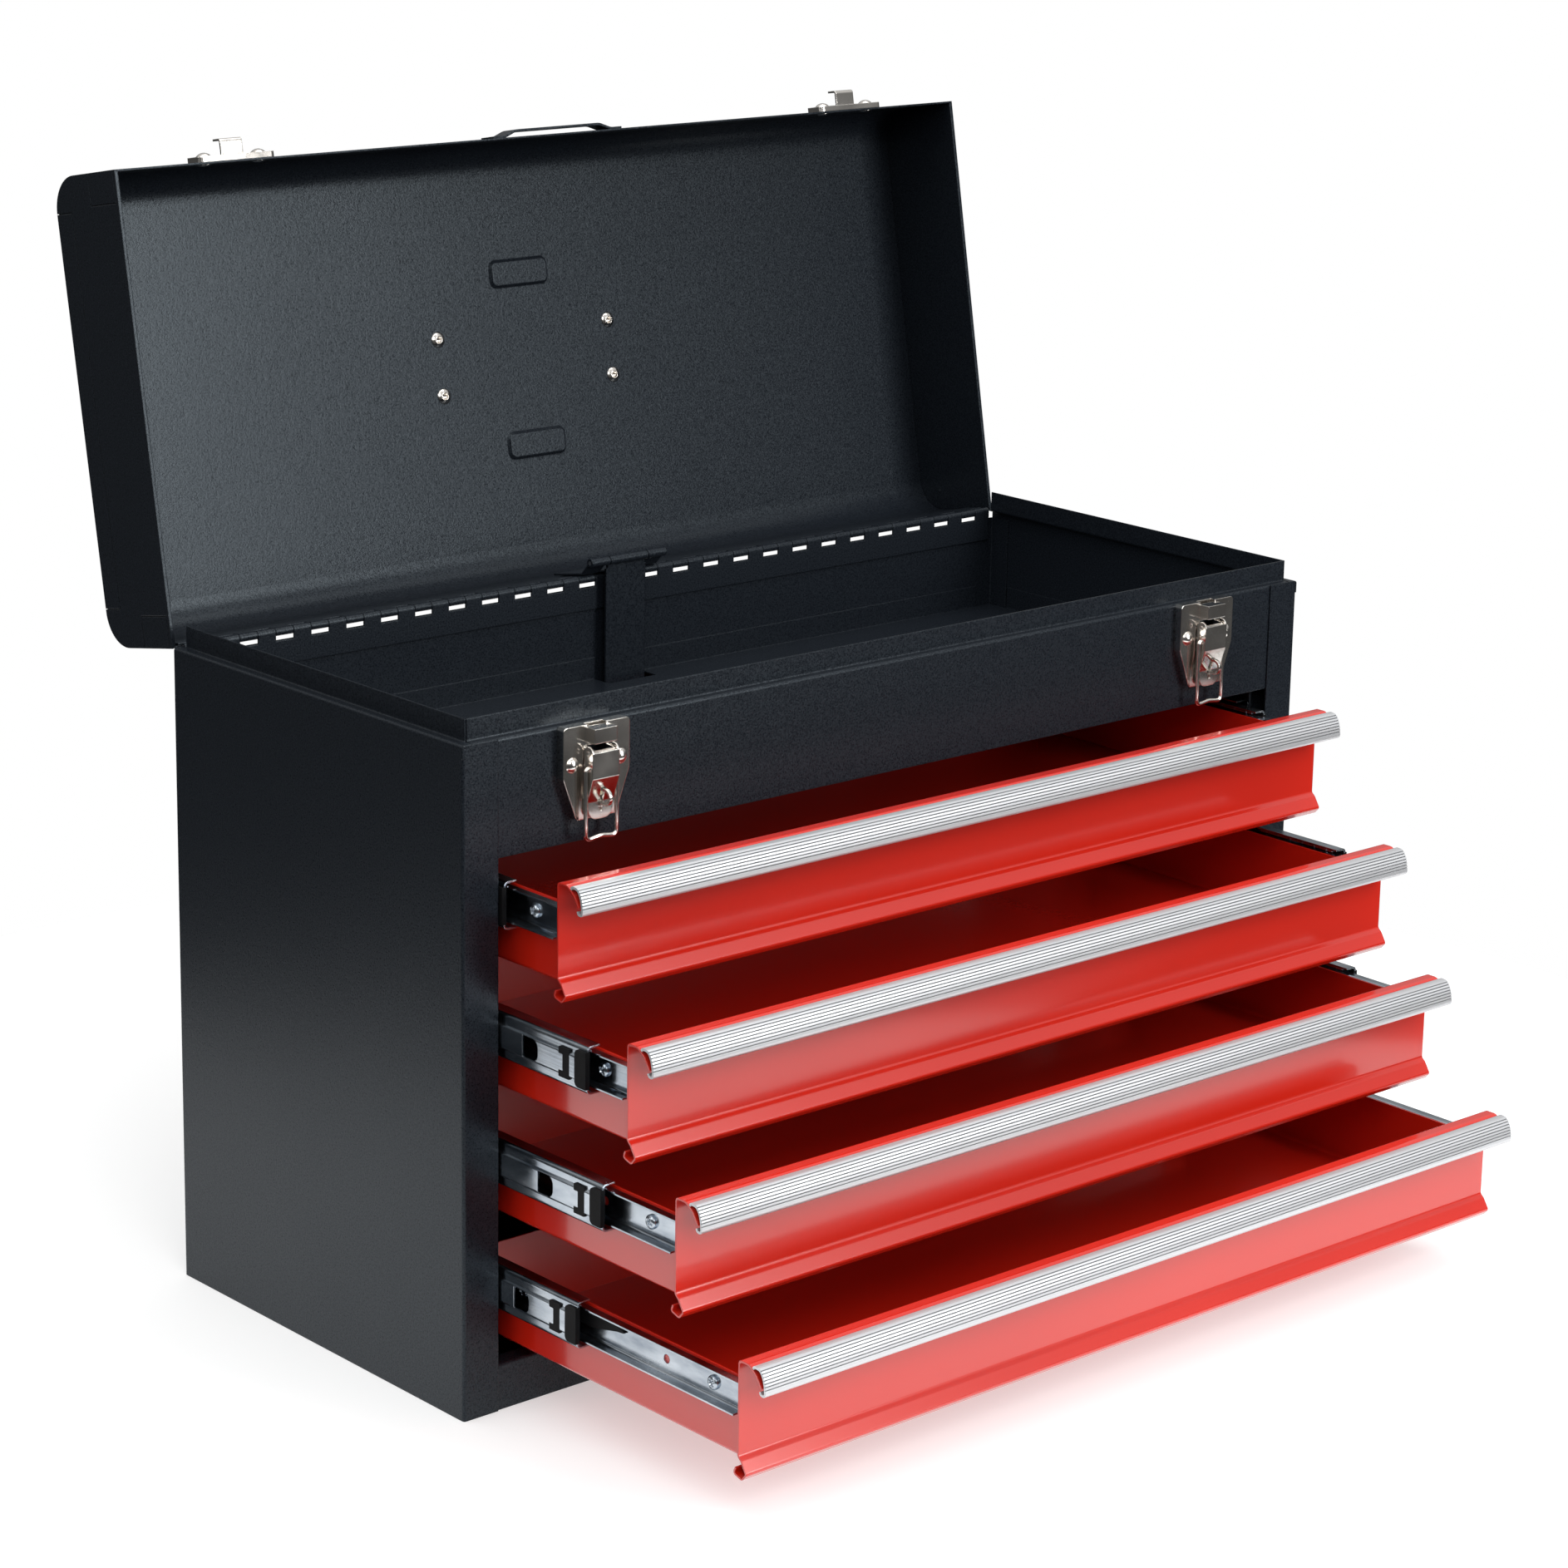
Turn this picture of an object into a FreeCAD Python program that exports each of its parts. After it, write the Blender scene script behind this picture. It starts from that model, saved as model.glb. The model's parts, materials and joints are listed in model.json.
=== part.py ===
import FreeCAD, Part
import math
import os

V = FreeCAD.Vector

# A portable steel tool box: four drawers on ball slides under an open tray, closed by a hinged lid.
# Front is -Y, up is +Z, and the origin is the middle of the case's underside. Millimetres.
# It stands as it is photographed, lid open and drawers part way out.

# Sizes of the case
case_width = 520.0
case_depth = 218.0
shoulder_height = 306.5
sheet = 0.8
fold_radius = 0.6
rim_height = 10.0
side_rim_inset = 4.5
front_rim_inset = 3.7
rim_front_gap = 4.7
rim_back_gap = 3.5
rim_corner_gap = 0.3
post_width = 18.9
back_drop = 4.7
back_flange = 12.0
floor_flange = 12.0
rail_height = 21.5
rail_flange = 8.9
apron_tab_drop = 3.0
crown_drop = 6.0

# Sizes of the tray floor inside the case
tray_depth = 52.9
tray_flange = 11.4
bar_notch_width = 30.0
bar_notch_depth = 12.2

# Sizes of the full-length hinge
hinge_axis_drop = 0.8
hinge_axis_behind = 0.2
hinge_pin_radius = 1.0
hinge_play = 0.05
knuckle_radius = 2.0
hinge_end_gap = 5.0
knuckle_gap = 0.3
lid_knuckles = 25
leaf_thickness = 1.0
leaf_height = 15.4
leaf_notch_rise = 4.0

# Sizes of the lid, given for the closed lid
lid_height = 53.2
lid_clear = 0.3
lid_sheet = 0.9
lid_corner_radius = 17.0
lid_front_overhang = 0.3
lid_rear_edge_rise = 2.5
lid_open_angle = 100.5
cap_band = 12.5
cap_band_front = 17.0
cap_band_back = 18.5
cap_band_gap = 0.35
cap_rear_band = 14.8
cap_rear_band_height = 21.0
cap_rear_band_rise = 2.0
cap_weld_radius = 1.2
cap_weld_height = 0.5
cap_weld_in = 11.2
cap_weld_up = 38.0

# Sizes of the carrying handle and its brackets on the lid
handle_off_middle = 0.8
handle_half_span = 53.8
handle_rivet_half_pitch = 14.0
handle_reach = 43.0
handle_rod_radius = 3.5
handle_leg_inset = 12.3
handle_bend_radius = 10.0
handle_rod_tip = 7.2
handle_play = 0.08
grip_radius = 8.0
grip_end_radius = 6.6
grip_half_length = 31.0
grip_rib_width = 3.0
grip_ribs = 7
recess_length = 35.0
recess_width = 12.4
recess_depth = 1.6
recess_slope = 1.5
recess_corner = 3.2
grip_clear = 1.8
rod_bend_play = 0.3
bracket_width = 16.0
bracket_sheet = 1.5
bracket_foot = 22.0
rivet_radius = 2.4
rivet_head_radius = 4.0
rivet_head_height = 1.4
rivet_hollow_radius = 1.7
rivet_hollow_depth = 3.2
rivet_play = 0.05

# Sizes of the blank pull strip on the lid's front
strip_half_length = 40.0
strip_height = 10.0
strip_rise = 7.0
strip_sheet = 1.2
strip_bow = 2.6
strip_foot = 7.0

# Sizes of the two draw latches
latch_from_side = 69.0
plate_width = 36.4
plate_foot_width = 22.0
plate_sheet = 1.0
plate_stand = 4.8
plate_shoulder_drop = 22.5
plate_length = 42.0
plate_corner_radius = 2.0
trough_depth = 2.9
latch_rivet_half_pitch = 13.3
latch_rivet_drop = 17.0
latch_rivet_radius = 1.6
latch_dome_radius = 3.6
latch_dome_height = 1.8
ear_half_gap = 5.2
ear_sheet = 0.9
ear_radius = 1.8
hat_height = 6.6
hat_stand = 6.4
hat_above_pivot = 4.6
lever_pivot_drop = 12.1
lever_pivot_stand = 3.4
lever_pin_radius = 0.9
lever_pin_play = 0.06
lever_half_width = 7.3
lever_sheet = 0.9
lever_round = 3.1
lever_back_clear = 0.5
lever_web_rise = 0.8
lever_wall_length = 11.0
lever_slope_length = 11.0
lever_slope_depth = 3.7
lever_tab_half_width = 6.5
lever_tab_length = 8.0
lever_tab_hole_radius = 0.8
lever_tab_hole_up = 4.3
eye_thickness = 1.6
eye_height = 7.6
eye_reach = 10.2
eye_rim = 1.3
eye_drop = 31.9
eye_slot_play = 0.4
bail_wire_radius = 1.0
bail_half_span = 8.5
bail_pivot_drop = 6.8
bail_pivot_in = 0.2
bail_length = 31.8
bail_bend_radius = 2.2
bail_bow = 1.2
bail_end_inset = 2.9
bail_play = 0.06
strike_width = 42.0
strike_height = 12.0
strike_rise = 3.0
strike_stand = 2.8
strike_sheet = 1.0
strike_corner_radius = 2.5
strike_hook_width = 12.0
strike_hook_reach = 10.5
strike_hook_rise = 5.4
strike_hook_lip = 6.0
strike_rivet_half_pitch = 15.0

# Sizes of the four drawers
drawer_end_gap = 22.5
first_drawer_gap = 2.1
rail_overlap = 4.0
drawer_recess = 10.0
drawer_sheet = 0.8
drawer_fold_radius = 0.9
lip_room = 15.5
pan_side_inset = 6.5
pan_back_inset = 21.0
pan_top_drop = 11.0
pan_below_face = 4.7
pan_fold_radius = 1.6
pan_hole_radius = 2.0
pan_hole_from_front = 62.0
pan_hole_from_side = 106.0
photo_opening_shares = [0.237, 0.4766, 0.6401, 0.8497]

# Section of the drawer front's top fold, back from its face and down from its top
fold_flat = 5.9
fold_bend_out = 10.4
fold_bend_drop = 3.1
fold_tip_out = 14.0
fold_tip_drop = 8.3

# Inner section of the drawer front's rolled lower lip, from the back of its face and down from its foot
lip_start_drop = 1.9
lip_start_out = 2.2
lip_nose_out = 5.2
lip_nose_drop = 6.6
lip_bottom_out = 2.9
lip_bottom_drop = 9.2
lip_heel_in = 1.6
lip_heel_drop = 7.9
lip_end_in = 0.6
lip_end_drop = 5.5
lip_radius = 1.6

# Section of the ribbed aluminium pull, out from the drawer's face and down from its top
pull_wall = 1.1
pull_foot_share = 0.36
pull_foot_height = 2.2
pull_brow_out = 12.3
pull_brow_drop = 0.3
pull_nose_out = 16.7
pull_nose_drop = 7.6
pull_chin_out = 15.4
pull_chin_drop = 12.0
pull_curl_out = 12.2
pull_curl_drop = 11.9
pull_curl_tip_out = 11.7
pull_curl_tip_drop = 9.6
pull_round = 1.4
pull_groove = 0.35
pull_grooves = 5
pull_groove_share = 0.75

# Sizes of the ball slides and the posts that carry them
slide_centre_drop = 19.0
slide_thickness = 10.5
slide_outer_height = 27.0
slide_outer_depth = 9.0
slide_outer_sheet = 0.8
slide_middle_height = 21.5
slide_middle_depth = 7.8
slide_middle_sheet = 0.8
slide_inner_height = 15.7
slide_inner_depth = 5.5
slide_inner_sheet = 0.8
slide_web_gap = 0.4
slide_fold_radius = 1.4
slide_front_clear = 1.5
slide_back_clear = 9.5
slide_middle_setback = 1.5
slide_middle_shortfall = 7.0
slide_inner_shortfall = 6.5
middle_travel_shares = [0.0736, 0.3645, 0.4188, 0.335]
slide_step_depth = 1.0
slide_step_start = 4.9
slide_step_end = 5.9
slide_step_radius = 0.3
window_from_front = 32.5
window_length = 10.6
window_height = 9.8
window_round = 3.6
ball_play = 0.05
ball_pitch = 8.0
ball_count = 6
ball_from_end = 8.0
ball_strip_width = 1.4
ball_strip_height = 0.8
slide_hole_radius = 2.0
slide_hole_from_front = 52.0
clip_from_front = 11.0
clip_bar = 4.4
clip_hook = 2.8
clip_height = 13.4
clip_hook_height = 3.0
clip_depth = 2.4
end_stop_length = 7.4
end_stop_height = 16.8
end_stop_round = 2.4
slide_notch_length = 3.6
screw_radius = 1.6
screw_head_radius = 3.3
screw_head_rim = 0.9
screw_head_crown = 1.1
screw_tip = 0.7
nut_across = 5.5
nut_height = 2.2
drawer_screw_from_front = 21.0
drawer_screw_from_back = 41.5
slide_post_front_inset = 11.0
slide_post_back_inset = 22.0
slide_post_depth = 25.0
slide_post_clear = 0.8

# Sizes of the bar that locks the drawers while the lid is down
bar_width = 25.0
bar_sheet = 1.2
bar_pin_radius = 1.1
bar_pin_play = 0.06
bar_ring_radius = 2.2
bar_pin_forward = 8.25
bar_pin_drop = 9.9
bar_bottom_height = 24.8
bar_ring_half_width = 11.7
link_half_width = 23.7
link_gap = 0.5
link_sheet = 1.0
link_clear = 0.3
link_top_rise = 20.0
link_bend_drop = 2.7
tongue_half_width = 9.0
tongue_reach = 9.0
tongue_lip_rise = 2.0
tongue_top_rise = 11.0
catch_half_width = 7.5
catch_above_floor = 13.7
catch_reach = 10.0
catch_lip = 6.0
guide_height = 12.0
guide_play = 0.5
guide_swing = 4.65
guide_foot = 8.0
guide_bottom = 20.0

# Shares, counts and margins
room_share = 0.49
overrun = 2.0
touching = 0.0001
quarter_turn_angle = 90.0

# Places worked out from the sizes above
side_x = case_width / 2
inner_x = side_x - sheet
front_y = -case_depth / 2
back_y = case_depth / 2
apron_y = front_y + sheet
panel_y = back_y - sheet
rim_top = shoulder_height + rim_height
hinge_y = back_y + hinge_axis_behind
hinge_z = shoulder_height - hinge_axis_drop
knuckle_pitch = 2 * (side_x - hinge_end_gap) / (2 * lid_knuckles + 1)
back_height = shoulder_height - back_drop
tray_floor_height = shoulder_height - tray_depth
leaf_y = hinge_y - knuckle_radius
lid_mouth = shoulder_height + lid_clear
lid_top = lid_mouth + lid_height
lid_front_y = front_y - lid_front_overhang
lid_back_y = leaf_y + leaf_thickness + lid_sheet
handle_y = -handle_off_middle
handle_z = lid_top + grip_radius + grip_clear
latch_centre = side_x - latch_from_side
drawer_face = front_y + drawer_recess
drawer_count = len(photo_opening_shares)
drawer_front_width = case_width - 2 * drawer_end_gap
pan_width = drawer_front_width - 2 * pan_side_inset
first_drawer_top = tray_floor_height - first_drawer_gap
drawer_pitch = (first_drawer_top - rail_height + rail_overlap) / drawer_count
drawer_tops = [first_drawer_top - drawer_pitch * row for row in range(drawer_count)]
front_face_height = drawer_pitch - lip_room
pan_bottom_drop = front_face_height + pan_below_face
catch_drop = pan_bottom_drop - catch_above_floor
tongue_lip_drop = catch_drop - tongue_lip_rise
tongue_top_drop = catch_drop - tongue_top_rise
post_x = inner_x - slide_post_clear
slide_x = pan_width / 2 + slide_thickness
slide_middle_x = slide_outer_sheet + slide_web_gap - slide_x
slide_front = drawer_face + slide_front_clear
slide_length = back_y - slide_back_clear - slide_front
slide_middle_length = slide_length - slide_middle_shortfall
slide_inner_length = slide_length - slide_inner_shortfall
photo_openings = [slide_length * share for share in photo_opening_shares]
middle_rest_travel = [slide_length * share for share in middle_travel_shares]
plate_y = apron_y - plate_stand
lever_y = plate_y - lever_pivot_stand
lever_z = shoulder_height - lever_pivot_drop
bail_y = lever_y + bail_pivot_in
bail_z = lever_z - bail_pivot_drop
bar_pin_y = hinge_y - bar_pin_forward
bar_pin_rest_z = hinge_z + bar_pin_drop
bar_pin_closed_z = hinge_z - bar_pin_drop
bar_y = bar_pin_y + bar_ring_radius - bar_sheet
bar_lift = bar_pin_rest_z - bar_pin_closed_z


def corner(before, here, after, radius):
    """Start, middle and end of the arc that rounds a corner of an outline."""
    back = before - here
    ahead = after - here
    room = min(back.Length, ahead.Length) * room_share
    back.normalize()
    ahead.normalize()
    opening = back.getAngle(ahead) / 2
    if radius <= touching or math.cos(opening) < touching:
        return here, here, here
    reach = min(radius / math.tan(opening), room)
    radius = reach * math.tan(opening)
    centre_line = (back + ahead).normalize()
    centre = here + centre_line * (radius / math.sin(opening))
    return here + back * reach, centre - centre_line * radius, here + ahead * reach


def outline(points, radii, axis, level):
    """Flat face on a plane square to the axis, its corners rounded by their radii."""
    flat = [V(a, b, 0) for a, b in points]
    count = len(flat)
    bends = [corner(flat[i - 1], flat[i], flat[(i + 1) % count], radii[i]) for i in range(count)]
    placed = {
        "x": lambda p: V(level, p.x, p.y),
        "y": lambda p: V(p.x, level, p.y),
        "z": lambda p: V(p.x, p.y, level),
    }[axis]
    edges = []
    for i in range(count):
        start, middle, end = bends[i]
        previous = bends[i - 1][2]
        if previous.distanceToPoint(start) > touching:
            edges.append(Part.makeLine(placed(previous), placed(start)))
        if start.distanceToPoint(end) > touching:
            edges.append(Part.Arc(placed(start), placed(middle), placed(end)).toShape())
    return Part.Face(Part.Wire(edges))


def extrude(points, radii, axis, start, end):
    """Solid bar of the outline's section, from one level of the axis to another."""
    if not isinstance(radii, (list, tuple)):
        radii = [radii] * len(points)
    along = {"x": V(end - start, 0, 0), "y": V(0, end - start, 0), "z": V(0, 0, end - start)}[axis]
    return outline(points, radii, axis, start).extrude(along)


def strip(points, thickness, axis, start, end, radius=fold_radius):
    """Folded sheet: an open line of one face, given its thickness to the left, or right if negative."""
    flat = [V(a, b, 0) for a, b in points]
    last = len(flat) - 1
    radii_in = radius if isinstance(radius, (list, tuple)) else [radius] * (last - 1)
    ways = [(flat[i + 1] - flat[i]).normalize() for i in range(last)]
    lefts = [V(-way.y, way.x, 0) for way in ways]
    other = [flat[0] + lefts[0] * thickness]
    near_radii = [0.0]
    far_radii = [0.0]
    for i in range(1, last):
        mitre = (lefts[i - 1] + lefts[i]) / (1 + lefts[i - 1].dot(lefts[i]))
        other.append(flat[i] + mitre * thickness)
        inside = radii_in[i - 1]
        outside = inside + abs(thickness)
        turns_left = ways[i - 1].cross(ways[i]).z > 0
        near_is_outside = turns_left == (thickness > 0)
        near_radii.append(outside if near_is_outside else inside)
        far_radii.append(inside if near_is_outside else outside)
    other.append(flat[last] + lefts[last - 1] * thickness)
    near_radii.append(0.0)
    far_radii.append(0.0)
    loop = [(p.x, p.y) for p in flat] + [(p.x, p.y) for p in reversed(other)]
    return extrude(loop, near_radii + far_radii[::-1], axis, start, end)


def box(x_low, x_high, y_low, y_high, z_low, z_high):
    """Rectangular block between its low and high sides."""
    return Part.makeBox(x_high - x_low, y_high - y_low, z_high - z_low, V(x_low, y_low, z_low))


def rod(start, end, radius):
    """Round bar between two points."""
    way = end - start
    return Part.makeCylinder(radius, way.Length, start, way)


def fused(shapes):
    """One solid from shapes that meet."""
    whole = shapes[0]
    if len(shapes) > 1:
        whole = whole.multiFuse(shapes[1:])
    return whole.removeSplitter()


def mirrored(shape):
    """The same shape on the other side of the box."""
    return shape.mirror(V(0, 0, 0), V(1, 0, 0))


def both_sides(shape):
    """A shape with its mirror image, as separate solids."""
    return Part.makeCompound([shape, mirrored(shape)])


def opened(shape):
    """A lid piece, drawn closed, turned about the hinge to where the lid stands open."""
    copy = shape.copy()
    copy.rotate(V(0, hinge_y, hinge_z), V(1, 0, 0), -lid_open_angle)
    return copy


def dome(centre, way, radius, height):
    """Low round head on a plane, bulging along the way given."""
    ball = (radius * radius + height * height) / (2 * height)
    sphere = Part.makeSphere(ball, centre - way * (ball - height))
    return sphere.common(Part.makeCylinder(radius, height, centre, way))


# Case panels
def side_panel():
    """Left wall with its front post, top shoulder and inset rim."""
    bend = fold_radius + sheet
    wall = strip(
        [(-side_x + post_width, front_y), (-side_x, front_y), (-side_x, back_y)],
        -sheet, "z", 0, shoulder_height - bend,
    )
    crown = strip(
        [
            (-side_x, shoulder_height - crown_drop),
            (-side_x, shoulder_height),
            (-side_x + side_rim_inset, shoulder_height),
            (-side_x + side_rim_inset, rim_top),
        ],
        -sheet, "y", front_y, back_y,
    )
    above = shoulder_height
    front_cut = box(-side_x, 0, front_y - overrun, front_y + rim_front_gap, above, rim_top + overrun)
    back_cut = box(-side_x, 0, back_y - rim_back_gap, back_y + overrun, above, rim_top + overrun)
    crown = crown.cut(front_cut).cut(back_cut)
    post_top = box(
        -side_x + bend, -side_x + post_width, front_y, front_y + sheet,
        shoulder_height - bend, shoulder_height,
    )
    return fused([wall, crown, post_top])


def back_panel():
    """Rear wall with its forward side flanges."""
    wall_x = inner_x
    return strip(
        [
            (-wall_x, panel_y - back_flange),
            (-wall_x, back_y),
            (wall_x, back_y),
            (wall_x, panel_y - back_flange),
        ],
        -sheet, "z", 0, back_height,
    )


def rear_corners(low, high):
    """Spaces at a floor's rear corners for the back panel's side flanges."""
    inside = inner_x - sheet - fold_radius
    return both_sides(box(-side_x, -inside, panel_y - back_flange, panel_y + overrun, low, high))


def bottom_panel():
    """Floor of the case with short flanges turned up inside the walls."""
    plate = box(-inner_x, inner_x, apron_y + sheet, panel_y, 0, sheet)
    flange_top = floor_flange
    back = box(-inner_x + back_flange, inner_x - back_flange, panel_y - sheet, panel_y, 0, flange_top)
    front_low = apron_y + sheet
    front = box(-inner_x + back_flange, inner_x - back_flange, front_low, front_low + sheet, 0, flange_top)
    side_low = front_y + slide_post_front_inset + slide_post_depth + overrun
    side_high = back_y - slide_post_back_inset - slide_post_depth - overrun
    side = box(-inner_x, -inner_x + sheet, side_low, side_high, 0, flange_top)
    return fused([plate, back, front, side, mirrored(side)]).cut(rear_corners(-overrun, flange_top))


def front_apron():
    """Blank front above the drawers, tucked behind the posts, with its shoulder and rim."""
    low = tray_floor_height
    reach = side_x - side_rim_inset - sheet - rim_corner_gap
    face = strip(
        [
            (apron_y, low),
            (apron_y, shoulder_height),
            (apron_y + front_rim_inset, shoulder_height),
            (apron_y + front_rim_inset, rim_top),
        ],
        -sheet, "x", -reach, reach,
    )
    tab_top = shoulder_height - apron_tab_drop
    tab = box(-inner_x + fold_radius, -reach, apron_y, apron_y + sheet, low, tab_top)
    return fused([face, tab, mirrored(tab)])


def bottom_rail():
    """Low rail under the last drawer, folded back along its top."""
    return strip(
        [(apron_y, 0), (apron_y, rail_height), (apron_y + rail_flange, rail_height)],
        -sheet, "x", -inner_x + fold_radius, inner_x - fold_radius,
    )


def tray_floor():
    """Floor of the open tray, flanged up on its four sides and notched for the lock bar."""
    low = tray_floor_height
    front = apron_y + sheet
    plate = box(-inner_x, inner_x, front, panel_y, low, low + sheet)
    top = low + sheet + tray_flange
    ends = inner_x - back_flange
    rear = box(-ends, ends, panel_y - sheet, panel_y, low, top)
    fore = box(-ends, ends, front, front + sheet, low, top)
    side = box(-inner_x, -inner_x + sheet, front + back_flange, panel_y - back_flange - sheet, low, top)
    notch = box(
        -bar_notch_width / 2, bar_notch_width / 2, panel_y - bar_notch_depth, panel_y + overrun,
        low - overrun, top + overrun,
    )
    return fused([plate, rear, fore, side, mirrored(side)]).cut(notch).cut(rear_corners(low - overrun, top))


# Hinge
def knuckle_row(centres):
    """Barrels of one leaf, bored for the pin."""
    length = knuckle_pitch - knuckle_gap
    rings = []
    for centre in centres:
        barrel = Part.makeCylinder(
            knuckle_radius, length, V(centre - length / 2, hinge_y, hinge_z), V(1, 0, 0),
        )
        rings.append(barrel)
    return rings


def hinge_half(centres, gaps, up):
    """One leaf with its knuckles; up is 1 for the lid's leaf and -1 for the case's."""
    reach = lid_knuckles * knuckle_pitch + knuckle_pitch / 2 - knuckle_gap / 2
    low, high = sorted((hinge_z, hinge_z + up * leaf_height))
    leaf = box(-reach, reach, leaf_y, leaf_y + leaf_thickness, low, high)
    rings = knuckle_row(centres)
    for gap in gaps:
        slot_half = knuckle_pitch / 2 + knuckle_gap / 2
        slot_low, slot_high = sorted((hinge_z - up * overrun, hinge_z + up * leaf_notch_rise))
        slot = box(
            gap - slot_half, gap + slot_half, leaf_y - overrun, leaf_y + leaf_thickness + overrun,
            slot_low, slot_high,
        )
        leaf = leaf.cut(slot)
    whole = fused([leaf] + rings)
    bore = rod(
        V(-side_x, hinge_y, hinge_z), V(side_x, hinge_y, hinge_z), hinge_pin_radius + hinge_play,
    )
    return whole.cut(bore)


def knuckle_centres():
    """Middles of the lid's knuckles and of the case's, along the hinge."""
    half_count = (lid_knuckles - 1) // 2
    lid_row = [2 * knuckle_pitch * i for i in range(-half_count, half_count + 1)]
    case_row = [place + knuckle_pitch for place in lid_row]
    case_row.insert(0, lid_row[0] - knuckle_pitch)
    return lid_row, case_row


def hinge_pin():
    """Wire that runs the length of the hinge."""
    reach = lid_knuckles * knuckle_pitch + knuckle_pitch / 2
    return rod(V(-reach, hinge_y, hinge_z), V(reach, hinge_y, hinge_z), hinge_pin_radius)


# Lid
def lid_shell():
    """Front, top and rear of the lid from one sheet, with its end bands and two finger recesses."""
    end = side_x - lid_sheet
    rear_edge = hinge_z + lid_rear_edge_rise
    section = [
        (lid_front_y, lid_mouth),
        (lid_front_y, lid_top),
        (lid_back_y, lid_top),
        (lid_back_y, rear_edge),
    ]
    inside = lid_corner_radius - lid_sheet
    shell = strip(section, -lid_sheet, "x", -end, end, inside)
    bands = []
    band_low = lid_front_y + cap_band_front
    band_high = hinge_y - cap_band_back
    bands.append(box(-side_x, -end, band_low, band_high, lid_top - cap_band, lid_top))
    rear_low = lid_mouth + cap_rear_band_rise
    rear_high = rear_low + cap_rear_band_height
    bands.append(box(-side_x, -end, lid_back_y - cap_rear_band, lid_back_y, rear_low, rear_high))
    bands.append(box(-side_x, -end, lid_front_y, lid_front_y + cap_rear_band, rear_low, rear_high))
    whole = fused([shell] + bands + [mirrored(band) for band in bands])
    for side in (-1, 1):
        middle = handle_y + side * handle_reach
        whole = whole.fuse(finger_recess(middle, lid_sheet, lid_top - lid_sheet))
        whole = whole.cut(finger_recess(middle, 0, lid_top))
    holes = []
    for x in (-handle_half_span, handle_half_span):
        for along in (-handle_rivet_half_pitch, handle_rivet_half_pitch):
            start = V(x, handle_y + along, lid_top - lid_sheet - overrun)
            holes.append(rod(start, start + V(0, 0, lid_sheet + 2 * overrun), rivet_radius + rivet_play))
    holes.append(both_sides(strike_rivet_holes()))
    return whole.cut(Part.makeCompound(holes)).removeSplitter()


def finger_recess(middle, grow, level):
    """Shallow block with sloping sides, sunk from the level given, that makes room under the folded grip."""
    def ring(inset, height):
        half_length = recess_length / 2 + grow - inset
        half_width = recess_width / 2 + grow - inset
        corners = [
            (-half_length, middle - half_width), (half_length, middle - half_width),
            (half_length, middle + half_width), (-half_length, middle + half_width),
        ]
        return outline(corners, [recess_corner + grow - inset] * len(corners), "z", height).OuterWire
    return Part.makeLoft([ring(0, level), ring(recess_slope, level - recess_depth)], True, True)


def lid_cap():
    """Left end of the lid, joggled behind the shell's end bands."""
    outer_low = -side_x
    outer_high = -side_x + lid_sheet
    section = [
        (lid_front_y, lid_mouth),
        (lid_front_y, lid_top),
        (lid_back_y, lid_top),
        (lid_back_y, lid_mouth),
    ]
    corner_radii = [0.0, lid_corner_radius, lid_corner_radius, 0.0]
    skin = extrude(section, corner_radii, "x", outer_low, outer_high)
    band_low = lid_front_y + cap_band_front
    band_high = hinge_y - cap_band_back
    gap = cap_band_gap
    rear_low = lid_mouth + cap_rear_band_rise
    rear_high = rear_low + cap_rear_band_height
    spaces = [
        (band_low - gap, band_high + gap, lid_top - cap_band - gap, lid_top + overrun),
        (lid_back_y - cap_rear_band - gap, lid_back_y + overrun, rear_low - gap, rear_high + gap),
        (lid_front_y - overrun, lid_front_y + cap_rear_band + gap, rear_low - gap, rear_high + gap),
    ]
    for y_low, y_high, z_low, z_high in spaces:
        skin = skin.cut(box(outer_low - overrun, outer_high + overrun, y_low, y_high, z_low, z_high))
    inset = lid_sheet
    lining_section = [
        (lid_front_y + inset, lid_mouth),
        (lid_front_y + inset, lid_top - inset),
        (lid_back_y - inset, lid_top - inset),
        (lid_back_y - inset, lid_mouth),
    ]
    inner_radii = [0.0, lid_corner_radius - inset, lid_corner_radius - inset, 0.0]
    lining = extrude(lining_section, inner_radii, "x", outer_high, outer_high + lid_sheet)
    weld = dome(
        V(outer_high + lid_sheet, hinge_y - cap_weld_in, lid_mouth + cap_weld_up), V(1, 0, 0),
        cap_weld_radius, cap_weld_height,
    )
    return fused([skin, lining, weld])


def lid_pull_strip():
    """Blank springy strip that bows off the middle of the lid's front."""
    y = lid_front_y
    points = [
        (-strip_half_length, y),
        (-strip_half_length + strip_foot, y),
        (-strip_half_length + 2 * strip_foot, y - strip_bow),
        (strip_half_length - 2 * strip_foot, y - strip_bow),
        (strip_half_length - strip_foot, y),
        (strip_half_length, y),
    ]
    low = lid_mouth + strip_rise
    return strip(points, -strip_sheet, "z", low, low + strip_height, strip_foot)


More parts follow.
